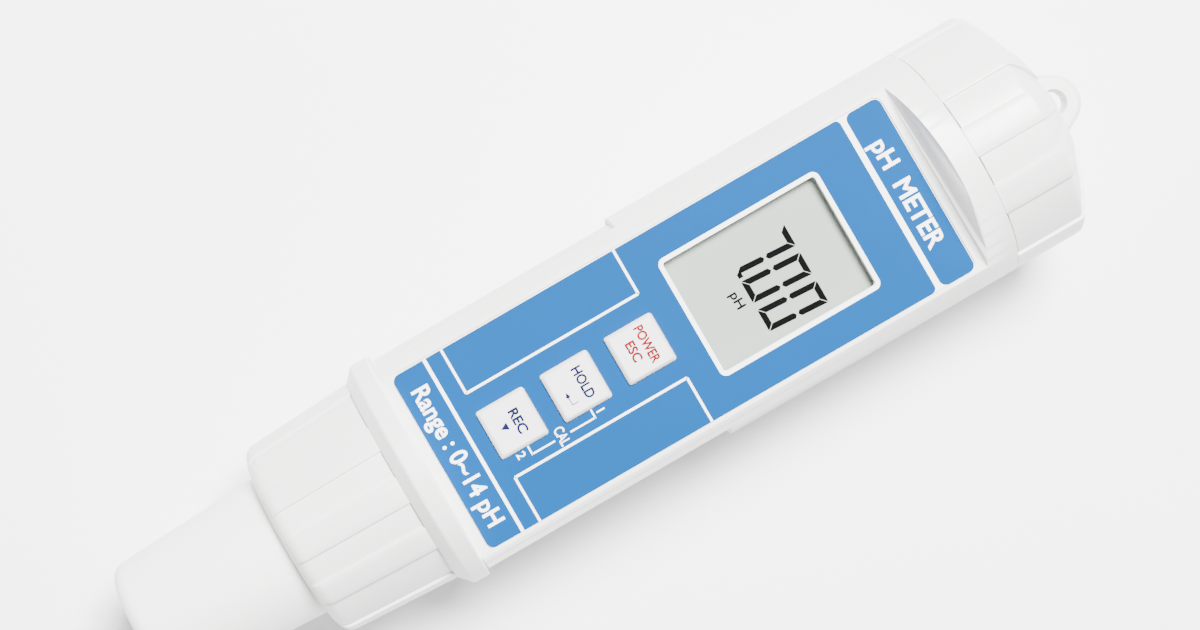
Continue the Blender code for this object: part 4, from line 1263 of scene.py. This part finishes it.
class METER_OT_electrode(bpy.types.Operator):
    """Make the electrode: handle, seals, sensor tube, glass bulb, wire and slotted guard"""
    bl_idname = "meter.electrode"
    bl_label = "Electrode"

    def execute(self, context):
        end, top = span("electrode_handle", 0)
        flange = 14.6 * MM
        handle = lathe("electrode_grip", [
            (top, 0.0), (top, 12.5 * MM, 0.4 * MM), (-38.6 * MM, 12.5 * MM), (-38.6 * MM, 11.2 * MM),
            (-40.8 * MM, 11.2 * MM), (-40.8 * MM, 12.5 * MM), (-45.8 * MM, 12.5 * MM),
            (-45.8 * MM, flange, 0.2 * MM), (-48.0 * MM, flange, 0.2 * MM), (-48.0 * MM, 12.2 * MM),
            (-52.2 * MM, 12.2 * MM, 0.3 * MM), (-52.2 * MM, 8.8 * MM), (-55.0 * MM, 8.8 * MM, 0.1 * MM),
            (-55.0 * MM, 7.4 * MM), (-57.2 * MM, 7.4 * MM), (-57.2 * MM, 8.8 * MM, 0.1 * MM),
            (end, 8.8 * MM, 0.4 * MM), (end, 6.3 * MM), (-62.5 * MM, 6.3 * MM), (-62.5 * MM, 0.0)], 128)
        keep(handle, "abs", "electrode", "housing_plastic", "electrode_handle")
        for name, node, radius, thickness in (("plug_ring", "plug_seal_ring", 12.15, 1.3),
                                              ("cap_grip_ring", "grip_ring", 8.45, 1.5)):
            keep(self.seal(name, middle(node, 0), radius * MM, thickness * MM / 2), "nitrile", "electrode",
                 "black_rubber", node)
        low, high = span("sensor_body", 0)
        tube = lathe("sensor_tube", [(high, 0.0), (high, 6.0 * MM), (low, 6.0 * MM, 0.3 * MM),
                                     (low, 3.2 * MM), (-68.1 * MM, 3.2 * MM), (-68.1 * MM, 0.0)], 96)
        keep(tube, "epoxy", "electrode", "sensor_epoxy", "sensor_body")
        keep(self.bulb(), "bulb", "electrode", "bulb_glass", "glass_bulb")
        low, high = span("silver_wire", 0)
        wire = lathe("silver_core", [(high, 0.0), (high, 0.4 * MM), (low, 0.4 * MM, 0.2 * MM), (low, 0.0)], 24)
        keep(wire, "silver", "electrode", "silver", "silver_wire")
        low, high = span("reference_junction", 0)
        junction = lathe("porous_ring", [(high, 5.6 * MM), (low, 5.6 * MM, 0.2 * MM), (low, 4.3 * MM, 0.2 * MM),
                                         (high, 4.3 * MM)], 64)
        keep(junction, "ceramic", "electrode", "ceramic", "reference_junction")

        low, high = span("sensor_guard", 0)
        guard = lathe("slotted_guard", [(high, 7.6 * MM), (low + 0.5 * MM, 7.6 * MM), (low, 7.1 * MM),
                                        (low, 6.3 * MM), (high, 6.3 * MM)], 96)
        slots = []
        for name, half_y, half_z in (("upright", 2.2, 9.0), ("level", 9.0, 2.2)):
            outline = rounded_outline((low + 1.6 * MM, -71.5 * MM), (-half_y * MM, half_y * MM), 1.0 * MM)
            slots.append(plate("guard_slot_" + name, outline, -half_z * MM, half_z * MM))
        carve(guard, slots)
        ease_edges(guard, 0.12 * MM)
        keep(guard, "abs", "electrode", "housing_plastic", "sensor_guard")
        return {"FINISHED"}

    def seal(self, name, station, radius, thickness):
        """A round sealing ring."""
        angles = [math.pi * step / 8 for step in range(16)]
        section = [(station + thickness * math.cos(angle), radius + thickness * math.sin(angle))
                   for angle in angles]
        return mesh_object(name, lathe_mesh(section, 96))

    def bulb(self):
        """A thin glass stem and ball, open at the top."""
        low, high = span("glass_bulb", 0)
        ball, wall, stem = 3.6 * MM, 0.5 * MM, 2.8 * MM
        centre = low + ball
        outer, inner = [(high, stem)], [(high, stem - wall)]
        steps = 20
        for radius, neck, points in ((ball, stem, outer), (ball - wall, stem - wall, inner)):
            first = math.asin(neck / radius)
            for step in range(steps + 1):
                angle = first + (math.pi - first) * step / steps
                points.append((centre + radius * math.cos(angle), radius * math.sin(angle)))
        return mesh_object("sensing_bulb", lathe_mesh(inner[::-1] + outer, 64))


# ---------------------------------------------------------------- inside and back

CARRIED = {
    # Pieces whose solids already have the right shape, and the finish of each.
    "battery_bulkhead": "black_nylon", "cap_contact_plate": "black_nylon", "signal_socket": "black_nylon",
    "key_seal": "nitrile", "contact_strip_left": "nitrile", "contact_strip_right": "nitrile",
    "main_board": "board", "processor_chip": "chip_epoxy", "amplifier_chip": "chip_epoxy",
    "crystal_can": "silver", "capacitor": "chip_epoxy", "trimmer": "polyethylene",
    "switch_power": "chip_epoxy", "switch_hold": "chip_epoxy", "switch_rec": "chip_epoxy",
    "plug_pin": "brass", "signal_lead": "jacket", "cap_seal_ring": "nitrile",
}


def carried_finish(node):
    """The finish of a solid that is shown as it is."""
    if node in CARRIED:
        return CARRIED[node]
    if node.startswith("board_screw") or node in ("bay_contact_1", "bay_contact_4", "cap_contact_2",
                                                  "cap_contact_3"):
        return "steel"
    return "brass"


class METER_OT_inside(bpy.types.Operator):
    """Finish the board, the contacts and the cells, and add the chips' legs"""
    bl_idname = "meter.inside"
    bl_label = "Inside"

    def execute(self, context):
        for index in range(1, 5):
            self.cell(index, "battery_%d" % index)
        for chip, count, pitch in (("processor_chip", 7, 1.27), ("amplifier_chip", 4, 1.27)):
            self.legs(chip, count, pitch * MM)
        for node, obj in frame["nodes"].items():
            if obj.hide_render:
                continue
            obj.data.materials.clear()
            obj.data.materials.append(MATERIALS[carried_finish(node)])
        return {"FINISHED"}

    def cell(self, index, node):
        """One cylindrical cell: steel ends, rolled rims and a printed jacket."""
        low, high = span(node, 0)
        y, z = middle(node, 1), middle(node, 2)
        button_out = index in (1, 4)
        rim = 5.05 * MM
        profile = [(high, 0.0), (high, 1.9 * MM, 0.3 * MM), (high - 1 * MM, 1.9 * MM),
                   (high - 1 * MM, 3.4 * MM), (high - 0.6 * MM, 3.8 * MM), (high - 0.6 * MM, 4.6 * MM),
                   (high - 1.0 * MM, rim, 0.2 * MM),
                   (low, rim, 0.35 * MM), (low, 3.6 * MM), (low + 0.2 * MM, 3.2 * MM), (low + 0.2 * MM, 0.0)]
        if not button_out:
            profile = [(low + high - x, *rest) for x, *rest in reversed(profile)]
        bm = lathe_mesh(fillet(profile, 3), 48)
        bmesh.ops.translate(bm, vec=(0.0, y, z), verts=bm.verts)
        keep(mesh_object("cell_%d" % index, bm), "cell", "housing", "cell_jacket", node)

    def legs(self, chip, count, pitch):
        """Two rows of gull-wing legs along a chip."""
        y, z = span(chip, 1), span(chip, 2)
        first = middle(chip, 0) - pitch * (count - 1) / 2
        for side, sign in (("left", 1), ("right", -1)):
            edge = y[1] if sign > 0 else y[0]
            outline = [(edge - sign * 0.2 * MM, z[0] + 0.9 * MM), (edge + sign * 0.35 * MM, z[0] + 0.9 * MM),
                       (edge + sign * 0.5 * MM, z[1] + 0.05 * MM), (edge + sign * 1.0 * MM, z[1] + 0.05 * MM),
                       (edge + sign * 1.0 * MM, z[1] + 0.2 * MM), (edge + sign * 0.38 * MM, z[1] + 0.2 * MM),
                       (edge + sign * 0.22 * MM, z[0] + 1.05 * MM), (edge - sign * 0.2 * MM, z[0] + 1.05 * MM)]
            half = 0.2 * MM
            leg = mesh_object("%s_legs_%s" % (chip, side), rings_mesh(
                [[from_axis(x, across, up) for across, up in outline] for x in (first - half, first + half)]))
            run_tree(leg, TREES["row"], {"Count": count, "Spacing": (pitch, 0.0, 0.0),
                                         "Material": MATERIALS["steel"]})
            keep(leg, "steel", "housing", "steel")


# ---------------------------------------------------------------- stage

class METER_OT_stage(bpy.types.Operator):
    """Set the floor, the soft lights and the camera"""
    bl_idname = "meter.stage"
    bl_label = "Stage"

    def execute(self, context):
        bm = bmesh.new()
        bmesh.ops.create_grid(bm, x_segments=2, y_segments=2, size=1.5)
        floor = mesh_object("bench", bm)
        floor.data.materials.append(MATERIALS["bench"])

        world = bpy.data.worlds.new("studio")
        world.use_nodes = True
        background = world.node_tree.nodes["Background"]
        background.inputs["Color"].default_value = (1.0, 1.0, 1.0, 1.0)
        background.inputs["Strength"].default_value = 0.3
        context.scene.world = world
        self.soft_light("key", (0.28, 0.27, 0.86), 0.35, 56.0)
        self.soft_light("fill", (-0.5, -0.35, 0.6), 0.6, 3.0)
        self.camera(context)
        return {"FINISHED"}

    def soft_light(self, name, place, size, power):
        """A square soft box that faces the meter."""
        light = bpy.data.lights.new(name, "AREA")
        light.shape = "SQUARE"
        light.size = size
        light.energy = power
        obj = bpy.data.objects.new(name, light)
        obj.location = place
        obj.rotation_euler = Vector(place).to_track_quat("Z", "Y").to_euler()
        bpy.context.scene.collection.objects.link(obj)

    def camera(self, context):
        """Straight down on the face, turned so that the pen rises to the right."""
        camera = bpy.data.cameras.new("camera")
        camera.lens = 73.7
        camera.shift_x = 0.175
        camera.shift_y = -0.042
        camera.clip_start = 0.01
        obj = bpy.data.objects.new("camera", camera)
        obj.location = from_axis(-22.8 * MM, 31.0 * MM, 396.0 * MM)
        obj.rotation_euler = (0.0, 0.0, math.radians(-30.1))
        context.scene.collection.objects.link(obj)
        context.scene.camera = obj


# ---------------------------------------------------------------- panel and registration

BUILD_ORDER = ("body", "label", "display", "keys", "battery_cap", "lock_ring", "storage_cap", "electrode",
               "inside", "stage")


class METER_PT_panel(bpy.types.Panel):
    """Lists the operators and the sizes they use"""
    bl_label = "pH Meter"
    bl_idname = "METER_PT_panel"
    bl_space_type = "VIEW_3D"
    bl_region_type = "UI"
    bl_category = "pH Meter"

    def draw(self, context):
        layout = self.layout
        for group in GROUPS:
            settings = getattr(context.scene, group)
            for name in settings.bl_rna.properties.keys():
                if name not in ("rna_type", "name"):
                    layout.prop(settings, name)
        for name in BUILD_ORDER:
            layout.operator("meter." + name)


GROUPS = {
    "meter_colours": MeterColours, "meter_body": MeterBodySizes, "meter_ribs": MeterRibSizes,
    "meter_label": MeterLabelSizes, "meter_display": MeterDisplaySizes, "meter_keys": MeterKeySizes,
}
CLASSES = (METER_OT_body, METER_OT_label, METER_OT_display, METER_OT_keys, METER_OT_battery_cap,
           METER_OT_lock_ring, METER_OT_storage_cap, METER_OT_electrode, METER_OT_inside, METER_OT_stage,
           METER_PT_panel)


def register():
    """Register the classes and hang the sizes on the scene."""
    for group in GROUPS.values():
        bpy.utils.register_class(group)
    for name, group in GROUPS.items():
        setattr(bpy.types.Scene, name, bpy.props.PointerProperty(type=group))
    for cls in CLASSES:
        bpy.utils.register_class(cls)


def unregister():
    """Undo register."""
    for cls in reversed(CLASSES):
        bpy.utils.unregister_class(cls)
    for name in GROUPS:
        delattr(bpy.types.Scene, name)
    for group in GROUPS.values():
        bpy.utils.unregister_class(group)


def main():
    """Build everything in order."""
    register()
    make_materials()
    make_trees()
    for name in BUILD_ORDER:
        getattr(bpy.ops.meter, name)()


if __name__ == "__main__":
    main()
